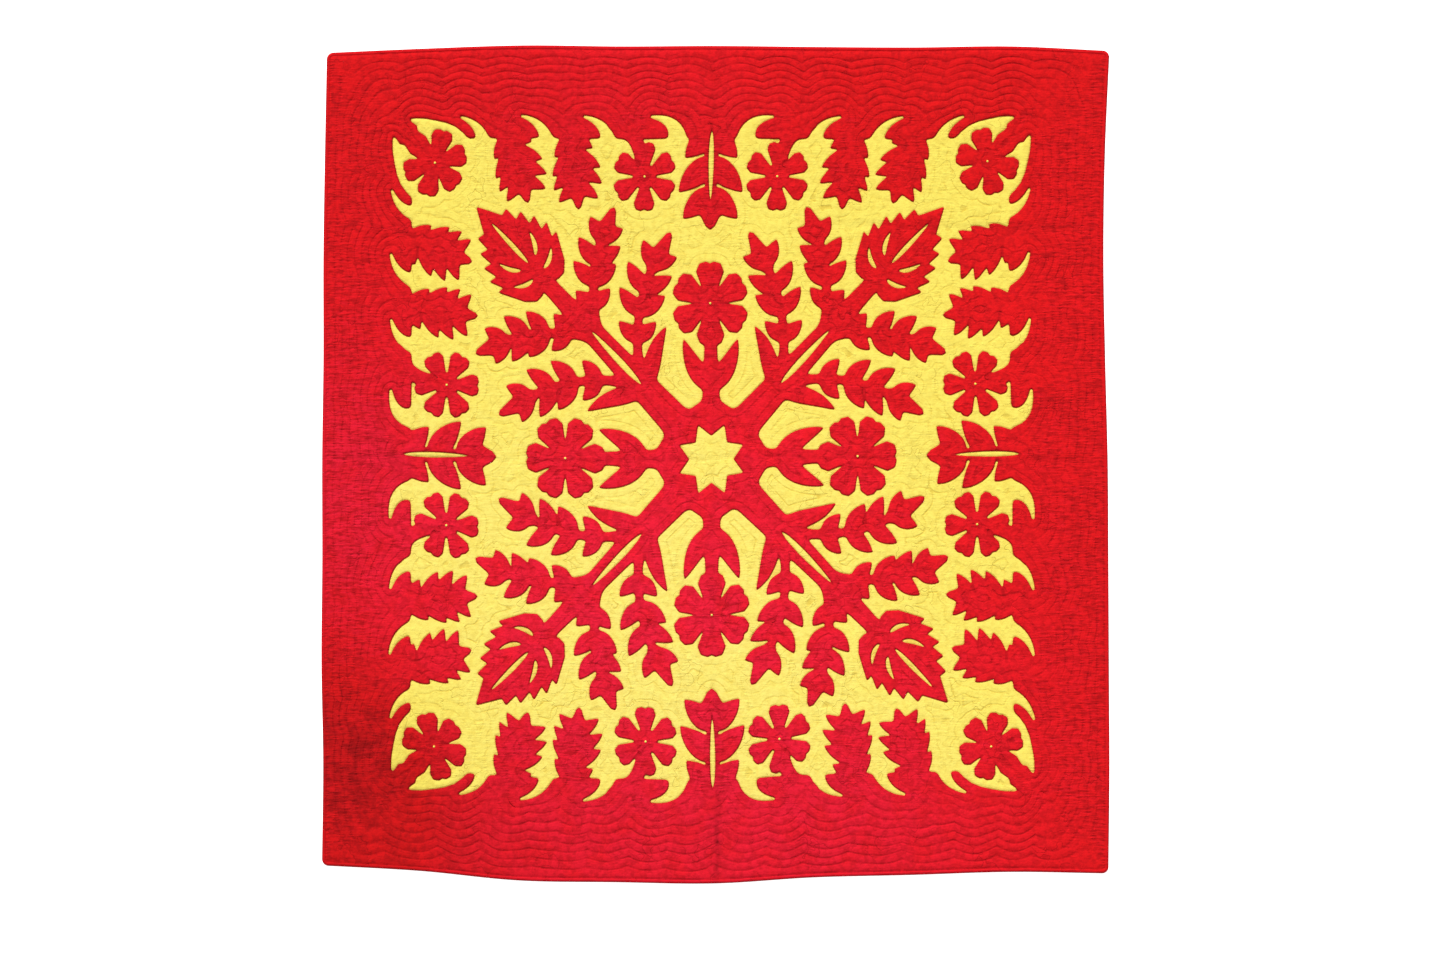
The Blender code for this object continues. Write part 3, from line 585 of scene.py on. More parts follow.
def sample(grid, points, step, origin):
    """Reads a square grid at points, linear between its nodes."""
    where = (np.asarray(points) - origin) / step
    k = np.clip(where.astype(int), 0, np.array(grid.shape) - 2)
    f = np.clip(where - k, 0.0, 1.0)
    i, j = k[:, 0], k[:, 1]
    fx, fy = f[:, 0], f[:, 1]
    return ((grid[i, j] * (1 - fx) + grid[i + 1, j] * fx) * (1 - fy)
            + (grid[i, j + 1] * (1 - fx) + grid[i + 1, j + 1] * fx) * fy)


def ripple(points, scale, seed):
    """Smooth noise from -1 to 1 at points, with hills about a scale apart."""
    return np.array([noise.noise(Vector((x / scale, y / scale, seed))) for x, y in points])


def row_at(points):
    """The row of quilting at points, below zero on red cloth."""
    return sample(ruler, points, RULER_STEP, ruler_origin)


def design_at(points):
    """The distance outside the red cloth, and whether the points lie on the cut design."""
    pattern = pattern_place(points) - DESIGN_SHIFT
    inside = np.max(np.abs(pattern), axis=1) < GRID_REACH - GRID_STEP
    return sample(field, pattern, GRID_STEP, field_origin) * HALF_WIDTH, inside


def side_gaps(points):
    """Distances to the cloth's left, right, lower and upper edge."""
    s, t = pattern_place(points).T
    return (points[:, 0] - side_run(t, 1), side_run(t, 2) - points[:, 0],
            points[:, 1] - side_run(s, 3), side_run(s, 4) - points[:, 1])


def rim_gap(points):
    """Distance to the binding's inner edge, rounded where two sides meet."""
    near = [np.maximum(side - BINDING_WIDTH - RIM_GUARD, 1e-5) for side in side_gaps(points)]
    return sum(gap ** -RIM_ROUND for gap in near) ** (-1.0 / RIM_ROUND)


def outer_gap(points):
    """Distance to the cloth's outer edge."""
    return np.minimum.reduce(side_gaps(points))


def soften(field):
    """Rounds the pattern's corners a little, as turned cloth does."""
    wide = np.pad(field, 1, mode="edge")
    across = (wide[:-2] + 2 * wide[1:-1] + wide[2:]) / 4
    return (across[:, :-2] + 2 * across[:, 1:-1] + across[:, 2:]) / 4


def scallops(places):
    """Shallow scallops along the border's rows, with their points towards the middle."""
    x, y = places.T
    upper = np.abs(y) > np.abs(x)
    along = np.where(upper, x, y) / SCALLOP + SCALLOP_DRIFT * ripple(places, 0.30, 2.6)
    level = np.where(upper, 1.0, SIDE_SCALLOP) * (0.9 + 0.7 * ripple(places, 0.25, 6.4))
    return (SCALLOP_MEAN - np.abs(np.sin(math.pi * along))) * level


def echo_ruler(outlines):
    """Rows of echo quilting counted from the cut edges, below zero on red cloth."""
    tree = kdtree.KDTree(sum(len(loop) for loop in outlines))
    index = 0
    for loop in outlines:
        for x, y in loop:
            tree.insert((x, y, 0.0), index)
            index += 1
    tree.balance()
    count_x = int(2 * (HALF_WIDTH + RULER_MARGIN) / RULER_STEP) + 1
    count_y = int(2 * (HALF_LENGTH + RULER_MARGIN) / RULER_STEP) + 1
    origin = np.array((-(count_x - 1) / 2 * RULER_STEP, -(count_y - 1) / 2 * RULER_STEP))
    x, y = np.meshgrid(np.arange(count_x), np.arange(count_y), indexing="ij")
    places = np.stack([x.ravel(), y.ravel()], axis=1) * RULER_STEP + origin
    cut_gap = np.array([tree.find((px, py, 0.0))[2] for px, py in places])
    rim = rim_gap(places)
    free = cut_gap / ECHO_GAP
    border = BORDER_ROWS * cut_gap / (cut_gap + rim)
    share = np.clip((rim - BORDER_FROM) / (BORDER_TO - BORDER_FROM), 0.0, 1.0)
    share = share * share * (3 - 2 * share)
    rows = border * (1 - share) + free * share
    wander = ROW_WOBBLE * (ripple(places, 0.075, 3.1) * 0.6 + ripple(places, 0.20, 7.7))
    wander += SCALLOP_ROWS * scallops(places) * (1 - share)
    fade = np.clip(rows / ROW_FADE, 0.0, 1.0) * np.clip((BORDER_ROWS - rows) / ROW_FADE, 0.0, 1.0)
    rows = rows + wander * fade
    depth, inside = design_at(places)
    rows = np.where((depth < 0) | ~inside, -rows, rows)
    return rows.reshape(count_x, count_y), origin


def even_gaps(loop, tolerance, longest):
    """A thinned loop whose steps are no longer than a limit."""
    thin = thin_loop(loop, tolerance)
    points = []
    for a, b in zip(thin, np.roll(thin, -1, axis=0)):
        pieces = max(1, int(math.ceil(np.linalg.norm(b - a) / longest)))
        for i in range(pieces):
            points.append(a + (b - a) * i / pieces)
    return np.array(points)


def within(points, loops):
    """True for points inside an odd number of the loops."""
    x, y = points[:, 0], points[:, 1]
    order = np.argsort(y)
    x, y = x[order], y[order]
    inside = np.zeros(len(points), bool)
    for loop in loops:
        for (ax, ay), (bx, by) in zip(loop, np.roll(loop, -1, axis=0)):
            if ay == by:
                continue
            low, high = (ay, by) if ay < by else (by, ay)
            first, last = np.searchsorted(y, (low, high), side="left")
            if first < last:
                part = slice(first, last)
                inside[part] ^= x[part] < (bx - ax) * (y[part] - ay) / (by - ay) + ax
    result = np.zeros(len(points), bool)
    result[order] = inside
    return result


def triangulate(outlines, inner_loops):
    """Triangles inside the outlines that keep every loop as edges."""
    points, edges = [], []
    for loop in list(outlines) + list(inner_loops):
        first = len(points)
        points += [Vector((float(x), float(y))) for x, y in loop]
        edges += [(first + i, first + (i + 1) % len(loop)) for i in range(len(loop))]
    found, _, faces, sources, _, _ = delaunay_2d_cdt(points, edges, [], 0, 1e-7)
    found = np.array([tuple(p) for p in found])
    rim_count = sum(len(loop) for loop in outlines)
    rim = {}
    for index, source in enumerate(sources):
        for k in source:
            if k < rim_count:
                rim[k] = index
    faces = np.array([tuple(face) for face in faces])
    return found, faces[within(found[faces].mean(axis=1), outlines)], rim


def solid_from(name, outlines, top, under, top_height, under_height):
    """A closed body between a top and an underside that share their outlines."""
    verts, faces, sheets = [], [], []
    for (points, tris, rim), height in ((top, top_height), (under, under_height)):
        used, where = np.unique(tris, return_inverse=True)
        start = sum(len(part) for part in verts)
        heights = height(points)
        verts.append(np.column_stack([points[used], heights[used]]))
        spot = {int(k): start + i for i, k in enumerate(used)}
        tris = where.reshape(-1, 3) + start
        faces.append(tris if len(sheets) == 0 else tris[:, ::-1])
        sheets.append({k: spot[index] for k, index in rim.items()})
    walls = []
    first = 0
    for loop in outlines:
        count = len(loop)
        forward = loop_area(loop) > 0
        solid_inside = forward == (loop is outlines[0])
        for i in range(count):
            a, b = first + i, first + (i + 1) % count
            if not solid_inside:
                a, b = b, a
            walls.append((sheets[0][b], sheets[0][a], sheets[1][a]))
            walls.append((sheets[0][b], sheets[1][a], sheets[1][b]))
        first += count
    faces.append(np.array(walls))
    return make_piece(name, np.concatenate(verts), np.concatenate(faces), len(top[1]))


def add_object(name, data):
    made = bpy.data.objects.new(name, data)
    bpy.context.scene.collection.objects.link(made)
    return made


def make_piece(name, verts, faces, top_count):
    """A smooth mesh with its row, painted light and shade, painted sheen and edge values and a bake map
    of its own.
    """
    verts = verts - (middle[0], middle[1], 0.0)
    mesh = bpy.data.meshes.new(name)
    mesh.from_pydata(verts.tolist(), [], faces.tolist())
    mesh.polygons.foreach_set("use_smooth", [True] * len(faces))
    for key, values in facts_of(verts + (middle[0], middle[1], 0.0)).items():
        layer = mesh.attributes.new(key, "FLOAT", "POINT")
        layer.data.foreach_set("value", values)
    flat = verts[:, :2] / (MAP_SPAN * HALF_WIDTH, MAP_SPAN * HALF_LENGTH) + 0.5
    corners = flat[faces.ravel()]
    rest = np.repeat(np.arange(len(faces)) >= top_count, 3)
    share = BACK_SHARE[name]
    corners[~rest] *= (1.0 - share, 1.0)
    corners[rest] = corners[rest] * share * BACK_FIT + (1.0 - share * BACK_FROM, MAP_EDGE)
    layer = mesh.uv_layers.new(name="OFBake")
    layer.data.foreach_set("uv", corners.ravel())
    return add_object(name, mesh)


def fold_height(points):
    """Soft ridges and troughs left by the way the cloth was stored."""
    height = np.zeros(len(points))
    for axis, place, rise, half, low, high in FOLDS:
        along = points[:, 1 - axis]
        drift = FOLD_DRIFT * np.sin(along * 5.0 + place * 9.0) + FOLD_KINK * np.sin(along * 41.0)
        across = (points[:, axis] - place - drift) / half
        fade = np.clip((along - low) / FOLD_FADE, 0.0, 1.0)
        fade *= np.clip((high - along) / FOLD_FADE, 0.0, 1.0)
        height += rise * np.exp(-across * across) * fade
    return height


def soft_spots(points, table):
    """The sum of round soft spots, each with its middle, its strength and its spread."""
    total = np.zeros(len(points))
    for x, y, strength, spread in table:
        total += strength * np.exp(-((points[:, 0] - x) ** 2 + (points[:, 1] - y) ** 2) / spread ** 2)
    return total


def swell(points):
    """The storage folds and the broad soft unevenness of the cloth, flat at the rim."""
    height = fold_height(points) + soft_spots(points, SWELLS) + 0.0006 * ripple(points, 0.13, 1.3)
    fade = np.clip(rim_gap(points) / SWELL_FADE, 0.0, 1.0)
    return np.maximum(height, -DEEPEST_FOLD) * fade


def puff(rows):
    """Full between the stitch lines, which are at whole numbers."""
    return np.abs(np.sin(math.pi * rows)) ** 0.65


def relief(points, in_field):
    """How full the quilting is: fuller in the border than in the pattern, and uneven."""
    border = np.clip(1.0 - (rim_gap(points) - RELIEF_FROM) / RELIEF_FADE, 0.0, 1.0)
    uneven = 1.0 + UNEVEN * ripple(points, 0.16, 21.0)
    return (in_field + (BORDER_RELIEF - in_field) * border) * uneven


def crinkle(points, rows):
    """Small puckers that run across the rows."""
    fine = ripple(points, 0.011, 5.0)
    broad = ripple(points, 0.026, 9.0)
    return CRINKLE_FINE * fine * puff(rows) + CRINKLE_BROAD * broad


def flower_spots():
    """The middle of each flower, with the number and reach of its petals."""
    spots = set()
    for _, (x, y), reach, petals, *_ in FLOWERS:
        for a, b in ((x, y), (y, x)):
            mirrored = ((i * a, j * b) for i in (1, -1) for j in (1, -1))
            spots |= {(round(u, 6), round(v, 6), petals, reach) for u, v in mirrored}
    return [(lay_out(np.array([(x, y)]) + DESIGN_SHIFT)[0], petals, reach * HALF_WIDTH)
            for x, y, petals, reach in sorted(spots)]


def petal_ridges(points):
    """Low ridges that run out from the middle of each flower, fading before the petals end."""
    height = np.zeros(len(points))
    waver = ripple(points, 0.05, 31.0)
    for eye, petals, reach in flower_spots():
        away = points - eye
        far = np.hypot(away[:, 0], away[:, 1])
        angle = np.arctan2(away[:, 1], away[:, 0])
        fade = np.clip(far / 0.02, 0.0, 1.0) * np.clip((reach - far) / 0.03, 0.0, 1.0)
        height += fade * np.cos(2 * petals * angle + 1.2 * waver)
    return PETAL_RIDGE * height


def facts_of(points3d):
    """What the materials read at the mesh points: row, distance to an edge, painted light and shade,
    painted sheen and slopes.
    """
    points = points3d[:, :2]
    rows = np.abs(row_at(points))
    depth, inside = design_at(points)
    edge = np.where(inside, np.abs(depth), outer_gap(points))
    # Painted shade in the fold troughs, and painted broad light and shade over the cloth.
    painted_shading = 1.0 + FOLD_SHADE * np.minimum(fold_height(points), 0.0) + soft_spots(points, PAINTED_SHADING_SPOTS)
    # Where the painted sheen shows.
    painted_sheen = soft_spots(points, PAINTED_SHEEN_SPOTS)
    slope_x, slope_y = (np.abs(row_at(points + step) - row_at(points - step))
                        for step in ((RULER_STEP, 0.0), (0.0, RULER_STEP)))
    steep = np.hypot(slope_x, slope_y) * ECHO_GAP / (2 * RULER_STEP)
    return {"rows": rows, "edge": edge, "painted_shading": painted_shading, "painted_sheen": np.clip(painted_sheen, 0.0, 1.0),
            "steep": np.clip(steep, 0.0, 1.0), "upright": slope_x / (slope_x + slope_y + 1e-6)}


def quilted(points, rows, puff_high, in_field):
    """How far the quilted face stands up above its sewn lines."""
    return (puff_high * puff(rows) + crinkle(points, rows)) * relief(points, in_field)


def cut_top(points):
    """The face of the red cloth, rounded down where its cut edges are turned under."""
    rows = np.abs(row_at(points))
    depth, inside = design_at(points)
    turned = np.sqrt(np.where(inside, np.clip(-depth / TURNED_EDGE, 0.0, 1.0), 1.0))
    height = CUT_UNDER + CUT_LIFT + (CUT_EDGE - CUT_UNDER - CUT_LIFT) * turned
    loft = np.clip(rim_gap(points) / LOFT_FADE, 0.0, 1.0)
    height += quilted(points, rows, CUT_PUFF, RED_FIELD_RELIEF) * turned * loft
    return height + swell(points) + petal_ridges(points) * turned


def cut_under(points):
    return CUT_UNDER + swell(points)


def body_top(points):
    """The face of the yellow cloth, low where the red cloth lies on it."""
    rows = row_at(points)
    depth, inside = design_at(points)
    rise = np.clip(depth / BODY_RISE, 0.0, 1.0)
    yellow = BODY_HIDDEN + (BODY_EDGE - BODY_HIDDEN) * rise
    yellow += quilted(points, rows, BODY_PUFF, YELLOW_FIELD_RELIEF) * rise
    return np.where(inside & (rows > 0.0), yellow, BODY_HIDDEN) + swell(points)


def body_under(points):
    """The back, flat on the floor but for its sewn lines and its raised rim."""
    height = BACK_PUFF * (1.0 - puff(row_at(points)))
    lift = np.clip(1.0 - rim_gap(points) / RIM_LIFT, 0.0, 1.0)
    return np.maximum(height, RIM_UNDER * lift)


def ring_loops(level, tolerance=LINE_THIN, longest=LINE_GAP):
    """Mesh lines that follow a row of the quilting."""
    loops = trace(ruler, level, RULER_STEP, ruler_origin)
    return [even_gaps(loop, tolerance, longest) for loop in loops if abs(loop_area(loop)) > LEAST_LOOP]


def design_loops(level, least):
    """Outlines at a distance from the design's cut edges, laid out on the cloth."""
    loops = trace(field, level, GRID_STEP, field_origin)
    return [lay_out(loop + DESIGN_SHIFT) for loop in loops if abs(loop_area(loop)) > least]


def edge_loops(level):
    """Mesh lines that follow the cut edges at a distance."""
    return [even_gaps(loop, LINE_THIN, LINE_GAP) for loop in design_loops(level, LEAST_AREA / 2)]


def split(loops, outlines):
    """The loops that start inside the outlines."""
    kept = within(np.array([loop[0] for loop in loops]), outlines)
    return [loop for loop, inside in zip(loops, kept) if inside]


def bound_edge(name):
    """The narrow strip folded over the edge, a soft U in section."""
    section = (
        # inset from the outer edge, height
        (BINDING_WIDTH, BINDING_TOP - 0.0017), (BINDING_WIDTH, BINDING_TOP - 0.0019),
        (BINDING_WALL + 0.0016, BINDING_TOP - 0.0019), (BINDING_WALL, BINDING_TOP - 0.0034),
        (BINDING_WALL, BINDING_LIP), (BINDING_WIDTH, BINDING_LIP), (BINDING_WIDTH, 0.0003),
        (0.0040, 0.0), (0.0014, 0.0002), (0.0003, 0.0010), (0.0, 0.0020), (0.0004, 0.0032),
        (0.0014, 0.0044), (0.0028, 0.0056), (0.0046, BINDING_TOP - 0.0003), (0.0068, BINDING_TOP),
        (0.0090, BINDING_TOP - 0.0002), (0.0108, BINDING_TOP - 0.0009),
    )
    rings = []
    for number, (inset, height) in enumerate(section):
        ring = rim_loop(inset)
        rise = np.full(len(ring), height)
        if height > BINDING_FACE:
            rise += BINDING_CRINKLE * ripple(ring, 0.012, 11.0 + number * 0.01)
        rings.append(np.column_stack([ring, rise]))
    count = len(rings[0])
    faces = []
    for a in range(len(section)):
        b = (a + 1) % len(section)
        for i in range(count):
            j = (i + 1) % count
            faces.append((a * count + i, b * count + i, b * count + j))
            faces.append((a * count + i, b * count + j, a * count + j))
    return make_piece(name, np.concatenate(rings), np.array(faces), len(faces))


def sewn_rows(name, levels, height, places):
    """Hand stitches, one small raised thread each, along the quilting rows."""
    verts, faces = [], []
    for level in levels:
        for loop in trace(ruler, level, RULER_STEP, ruler_origin):
            closed = np.concatenate([loop, loop[:1]])
            step = np.linalg.norm(np.diff(closed, axis=0), axis=1)
            along = np.concatenate([[0.0], np.cumsum(step)])
            count = int(along[-1] / STITCH_PITCH)
            if count < LEAST_STITCHES:
                continue
            start = np.arange(count) * along[-1] / count
            tips = []
            for shift in (0.0, STITCH_LONG / 2, STITCH_LONG):
                place = (start + shift) % along[-1]
                tips.append(np.stack([np.interp(place, along, closed[:, 0]),
                                      np.interp(place, along, closed[:, 1])], axis=1))
            first, mid, last = tips
            way = last - first
            way /= np.maximum(np.linalg.norm(way, axis=1), 1e-9)[:, None]
            side = np.stack([-way[:, 1], way[:, 0]], axis=1) * STITCH_WIDE / 2
            good = places(mid)
            base = sum(len(v) for v in verts)
            for points, lift in ((first, -STITCH_SINK), (mid + side, 0.0), (last, -STITCH_SINK),
                                 (mid - side, 0.0), (mid, STITCH_HIGH)):
                points = points[good]
                verts.append(np.column_stack([points, height(points) + lift]))
            n = int(good.sum())
            k = base + np.arange(n)
            a, b, c, d, top = (k + n * i for i in range(5))
            for tri in ((a, d, top), (d, c, top), (c, b, top), (b, a, top)):
                faces.append(np.stack(tri, axis=1))
    return make_piece(name, np.concatenate(verts), np.concatenate(faces), sum(len(f) for f in faces))


def eye_knots(name):
    """A small round yellow knot in the middle of each flower."""
    verts, faces = [], []
    turns = KNOT_SIDES
    rings = ((1.0, 0.0), (0.92, 0.55), (0.60, 0.90), (0.20, 1.0))
    for eye, _, _ in flower_spots():
        level = float(cut_top(eye[None])[0])
        base = len(verts)
        for share, rise in rings:
            for k in range(turns):
                angle = 2 * math.pi * k / turns
                verts.append((eye[0] + KNOT_RADIUS * share * math.cos(angle),
                              eye[1] + KNOT_RADIUS * share * math.sin(angle),
                              level - KNOT_SINK + KNOT_HIGH * rise))
        for ring in range(len(rings) - 1):
            for k in range(turns):
                a, b = base + ring * turns + k, base + ring * turns + (k + 1) % turns
                faces += [(a, b, b + turns), (a, b + turns, a + turns)]
        last = base + (len(rings) - 1) * turns
        faces += [(last, last + k, last + k + 1) for k in range(1, turns - 1)]
    return make_piece(name, np.array(verts), np.array(faces), len(faces))


def node(tree, kind, **values):
    made = tree.nodes.new(kind)
    for key, value in values.items():
        setattr(made, key, value)
    return made


def cotton(name, colour, shade_colour, highlight_colour, edge_shade_colour, valley_share, pucker_share, edge_shade_share, painted_shading_share):
    """Plain woven cotton, with painted shade in the stitched valleys, crumples, puckers and creases and
    along the cut edges, painted highlights and painted broad light and shade.
    """
    material = bpy.data.materials.new(name)
    material.use_nodes = True
    tree = material.node_tree
    link = tree.links.new
    shader = tree.nodes["Principled BSDF"]
    shader.inputs["Roughness"].default_value = ROUGHNESS
    shader.inputs["Sheen Weight"].default_value = SHEEN
    shader.inputs["Sheen Roughness"].default_value = SHEEN_ROUGHNESS
    shader.inputs["Specular IOR Level"].default_value = SPECULAR
    place = node(tree, "ShaderNodeTexCoord").outputs["Object"]

    def noise_at(scale, detail, where=place):
        made = node(tree, "ShaderNodeTexNoise")
        made.inputs["Scale"].default_value = scale
        made.inputs["Detail"].default_value = detail
        link(where, made.inputs["Vector"])
        return made.outputs["Fac"]

    def stretched_noise(scale):
        spread = node(tree, "ShaderNodeVectorMath", operation="MULTIPLY")
        link(place, spread.inputs[0])
        spread.inputs[1].default_value = scale
        return noise_at(1.0, 2.0, spread.outputs[0])

    def math_of(operation, a, b=0.0, c=0.0):
        made = node(tree, "ShaderNodeMath", operation=operation)
        for slot, value in enumerate((a, b, c)):
            if isinstance(value, (int, float)):
                made.inputs[slot].default_value = value
            else:
                link(value, made.inputs[slot])
        return made.outputs[0]

    def ramp(value, low, high, start=0.0, end=1.0):
        made = node(tree, "ShaderNodeMapRange", interpolation_type="SMOOTHSTEP")
        link(value, made.inputs["Value"])
        for key, number in (("From Min", low), ("From Max", high), ("To Min", start), ("To Max", end)):
            made.inputs[key].default_value = number
        return made.outputs["Result"]

    def mix(share, a, b):
        made = node(tree, "ShaderNodeMix", data_type="RGBA")
        for slot, value in ((0, share), (6, a), (7, b)):
            if isinstance(value, (int, float)):
                made.inputs[slot].default_value = value
            elif isinstance(value, tuple):
                made.inputs[slot].default_value = (*value, 1.0)
            else:
                link(value, made.inputs[slot])
        return made.outputs[2]

    def both(a, b):
        return math_of("MULTIPLY", a, b)

    # The rows, and how clearly they run at each place.
    rows, edge, painted_shading, upright, painted_sheen, steep = (
        node(tree, "ShaderNodeAttribute", attribute_name=key).outputs["Fac"]
        for key in ("rows", "edge", "painted_shading", "upright", "painted_sheen", "steep"))
    from_row = math_of("PINGPONG", rows, 0.5)
    clear = ramp(steep, 0.35, 0.75)
    near_row = ramp(from_row, 0.05, 0.40, 1.0, 0.25)
    unsteady = both(ramp(noise_at(26.0, 3.0), 0.34, 0.60, 0.25, 1.0),
                    ramp(noise_at(4.5, 1.0), 0.38, 0.62, 0.60, 1.15))
    valley = both(both(ramp(from_row, 0.02, 0.15, 1.0, 0.0), clear), unsteady)
    # Crumples, creases and threads pulled across the rows.
    crumple = noise_at(72.0, 4.0)
    from_half = math_of("ABSOLUTE", math_of("SUBTRACT", noise_at(18.0, 2.0), 0.5))
    crease = both(ramp(from_half, 0.0, 0.013, 1.0, 0.0), ramp(noise_at(9.0, 2.0), 0.45, 0.62))
    level_pull = stretched_noise((150.0, 34.0, 30.0))
    upright_pull = stretched_noise((26.0, 165.0, 30.0))
    sideways = both(clear, ramp(upright, 0.40, 0.90))
    # The colour, from the plain cloth through painted sheen, painted shade and painted highlights to the
    # painted shade along the cut edges.
    # Painted sheen: mixed towards the paler, pinker highlight colour in patches.
    base = mix(both(ramp(noise_at(14.0, 3.0), 0.30, 0.60, 0.60, 1.0), painted_sheen), colour, highlight_colour)
    # Painted shade in the hollows of the crumples.
    crumple_shade = 0.20 + 0.36 * pucker_share
    base = mix(both(ramp(crumple, 0.35, 0.60, 1.0, 0.0), crumple_shade), base, shade_colour)
    # Painted shade in the stitched valleys, weaker where the rows run up and down, in line with the
    # light.
    row_share = ramp(upright, 0.30, 0.90, valley_share, 0.65 * valley_share)
    base = mix(both(valley, row_share), base, shade_colour)
    # Painted shade on the puckers that run across upright rows.
    pucker_shade = both(ramp(upright_pull, 0.50, 0.64, 0.0, pucker_share), sideways)
    base = mix(pucker_shade, base, shade_colour)
    # Painted highlight on the same puckers, pinker where the painted sheen shows.
    pucker_highlight = both(ramp(upright_pull, 0.34, 0.48, 0.60, 0.0), sideways)
    base = mix(both(pucker_highlight, math_of("ADD", painted_sheen, 0.15)), base, highlight_colour)
    # Painted shade in the creases.
    base = mix(both(crease, 0.36), base, shade_colour)
    # Painted shade along the cut and outer edges; on the yellow it is warm, a painted red bounce light.
    base = mix(ramp(edge, *EDGE_SHADE_WIDTHS, edge_shade_share, 0.0), base, edge_shade_colour)
    # The painted broad light and shade, with painted shade in the fold troughs, mottled.
    toned = node(tree, "ShaderNodeVectorMath", operation="SCALE")
    link(base, toned.inputs[0])
    mottle = ramp(noise_at(18.0, 4.0), 0.35, 0.65, 1.4, 0.6)
    change = both(mottle, math_of("SUBTRACT", painted_shading, 1.0))
    link(math_of("MULTIPLY_ADD", change, painted_shading_share, 1.0), toned.inputs["Scale"])
    link(toned.outputs[0], shader.inputs["Base Color"])
    # The fine relief.
    pull = math_of("MULTIPLY_ADD", level_pull, math_of("SUBTRACT", 1.0, upright),
                   both(upright_pull, both(upright, UPRIGHT_PULL)))
    height = both(crumple, CRUMPLE_HIGH * (1.0 + pucker_share))
    for part, high in ((noise_at(230.0, 2.0), GRAIN_HIGH), (noise_at(900.0, 1.0), WEAVE_HIGH),
                       (valley, -VALLEY_DEEP), (crease, -CREASE_DEEP),
                       (both(pull, near_row), PULL_LEAST + PULL_MORE * pucker_share)):
        height = math_of("MULTIPLY_ADD", part, high, height)
    bump = node(tree, "ShaderNodeBump")
    bump.inputs["Strength"].default_value = 1.0
    bump.inputs["Distance"].default_value = 1.0
    link(height, bump.inputs["Height"])
    link(bump.outputs["Normal"], shader.inputs["Normal"])
    return material


field = soften(pattern_field())
field_origin = -(field.shape[0] - 1) / 2 * GRID_STEP
cut_lines = design_loops(0.0, LEAST_AREA)
ruler, ruler_origin = echo_ruler(cut_lines)
outlines = [even_gaps(loop, LINE_THIN, LINE_GAP) for loop in cut_lines]
plant = min(outlines, key=loop_area)
holes = [loop for loop in outlines if loop is not plant and within(loop[:1], [plant])[0]]
openings = [loop for loop in outlines if loop is not plant and not any(loop is hole for hole in holes)]
coarse_rim = rim_loop(0.0, 10, 5)
middle = (coarse_rim.min(axis=0) + coarse_rim.max(axis=0)) / 2
rim = rim_loop(RIM_INSET)
lip = rim_loop(BINDING_WIDTH + RIM_GUARD)
frame_outlines = [rim] + openings
plant_outlines = [plant] + holes

levels = [row + part for row in range(BORDER_ROWS) for part in ROW_PARTS if row + part > CLEAR_ROWS]
red_rings = [loop for level in levels for loop in ring_loops(-level)]
red_rings += [loop for level in RED_EDGES for loop in edge_loops(level)]
yellow_rings = [loop for level in levels if level < YELLOW_ROWS for loop in ring_loops(level)]
yellow_rings += [loop for level in YELLOW_EDGES for loop in edge_loops(level)]

frame_piece = solid_from(
    "red_frame", frame_outlines, triangulate(frame_outlines, [lip] + split(red_rings, frame_outlines)),
    triangulate(frame_outlines, []), cut_top, cut_under)
centre_piece = solid_from(
    "red_centre", plant_outlines, triangulate(plant_outlines, split(red_rings, plant_outlines)),
    triangulate(plant_outlines, []), cut_top, cut_under)
back_rings = [rim_loop(STEP_INSET), rim_loop(FLOOR_INSET)]
for half_row in range(1, 2 * BORDER_ROWS - 1):
    for hand in (-1, 1):
        if hand < 0 or half_row < 2 * YELLOW_ROWS:
            back_rings += ring_loops(hand * half_row / 2, BACK_THIN, BACK_GAP)
body_piece = solid_from(
    "quilt_cloth", [rim], triangulate([rim], yellow_rings + outlines),
    triangulate([rim], back_rings), body_top, body_under)
binding_piece = bound_edge("edge_binding")


def on_red(points):
    return row_at(points) < -CLEAR_ROWS


def on_yellow(points):
    return row_at(points) > CLEAR_ROWS


red_stitches = sewn_rows("red_stitches", [-row for row in range(1, BORDER_ROWS)], cut_top, on_red)
yellow_stitches = sewn_rows("yellow_stitches", range(1, YELLOW_ROWS + 1), body_top, on_yellow)
knots = eye_knots("flower_knots")

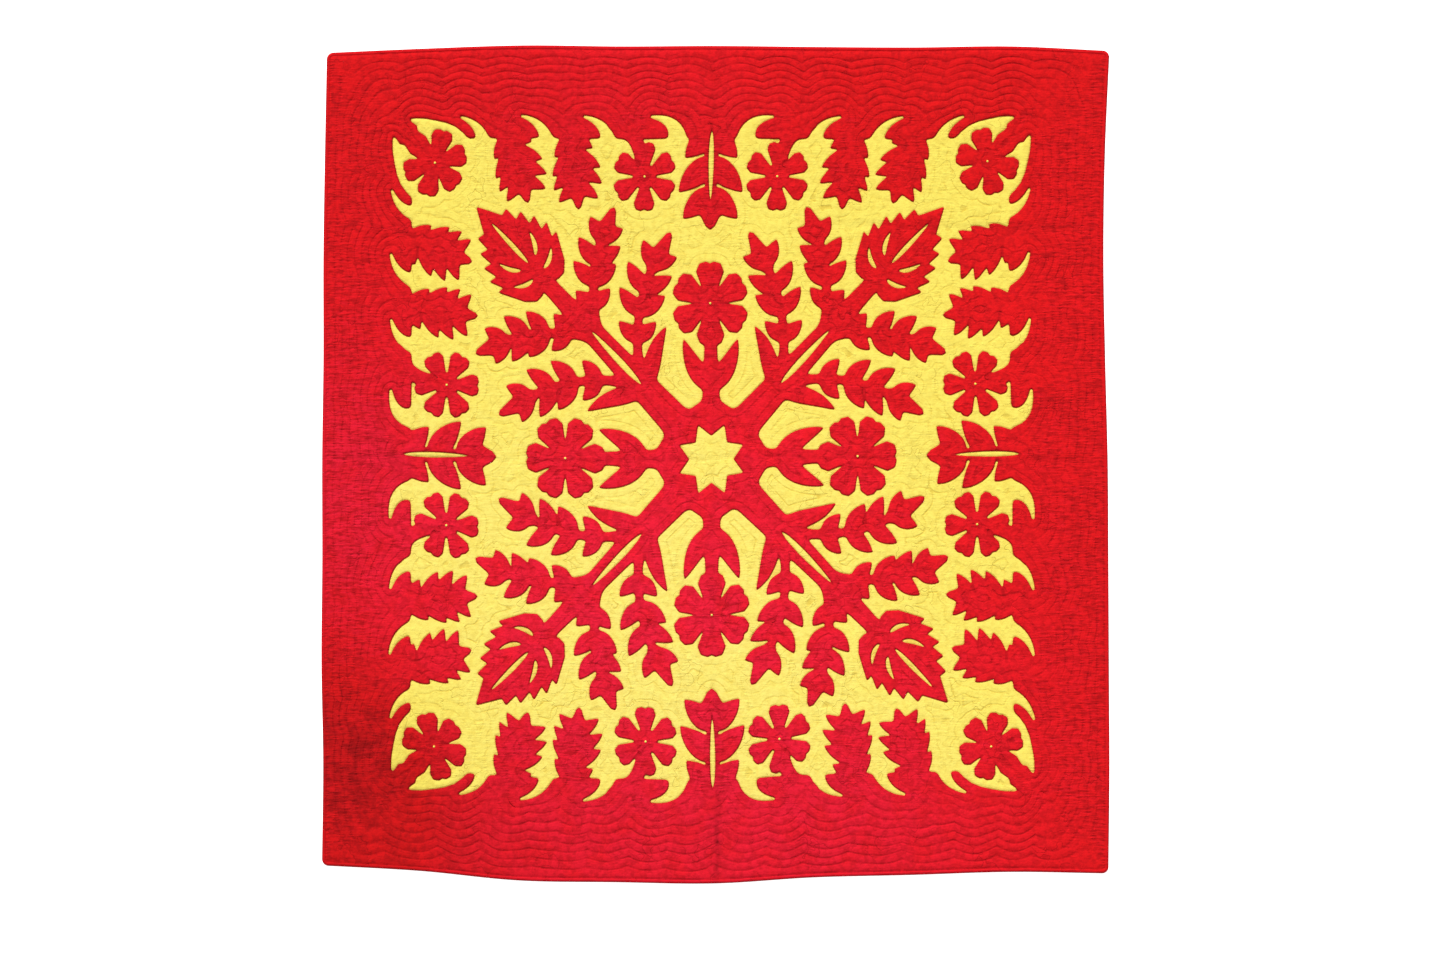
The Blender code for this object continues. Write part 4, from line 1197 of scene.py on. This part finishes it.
red, red_trim, yellow = (cotton(name, *values) for name, values in COTTONS.items())
for piece, material, parts, slot in (
        (body_piece, yellow, ("quilt_body",), "yellow_cotton"),
        (frame_piece, red, ("applique_frame",), "red_cotton_frame"),
        (centre_piece, red, ("applique_centre",), "red_cotton_centre"),
        (binding_piece, red_trim, ("binding",), "red_cotton_binding"),
        (red_stitches, red_trim, (), "red_cotton_frame"),
        (yellow_stitches, yellow, (), "yellow_cotton"),
        (knots, yellow, (), "yellow_cotton")):
    piece.data.materials.append(material)
    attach(piece, "root")
    if parts:
        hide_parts(*parts)

# The surface under the cloth, plain studio light and the camera straight above.
floor_mesh = bpy.data.meshes.new("floor")
floor_ring = [(x * FLOOR_HALF, y * FLOOR_HALF, FLOOR_Z) for x, y in ((-1, -1), (1, -1), (1, 1), (-1, 1))]
floor_mesh.from_pydata(floor_ring, [], [(0, 1, 2, 3)])
floor = add_object("floor", floor_mesh)
paper = bpy.data.materials.new("paper")
paper.use_nodes = True
shader = paper.node_tree.nodes["Principled BSDF"]
shader.inputs["Base Color"].default_value = (FLOOR_GREY, FLOOR_GREY, FLOOR_GREY, 1.0)
shader.inputs["Roughness"].default_value = FLOOR_ROUGHNESS
shader.inputs["Emission Color"].default_value = WHITE
shader.inputs["Emission Strength"].default_value = FLOOR_GLOW
floor_mesh.materials.append(paper)

world = bpy.data.worlds.new("studio")
bpy.context.scene.world = world
world.use_nodes = True
background = world.node_tree.nodes["Background"]
background.inputs["Color"].default_value = WHITE
background.inputs["Strength"].default_value = SKY
sun = bpy.data.lights.new("window_light", "SUN")
sun.energy = SUN_POWER
sun.angle = math.radians(SUN_WIDTH)
lamp = add_object("window_light", sun)
lamp.rotation_euler = Vector(SUN_WAY).to_track_quat("-Z", "Y").to_euler()

camera_data = bpy.data.cameras.new("camera")
camera_data.lens = LENS
camera_data.sensor_width = SENSOR
camera = add_object("camera", camera_data)
camera.location = (CAMERA_X, CAMERA_Y, PIXEL * IMAGE_WIDE * LENS / SENSOR)
bpy.context.scene.camera = camera
bpy.context.scene.view_settings.view_transform = "Standard"
bpy.context.scene.view_settings.look = "None"
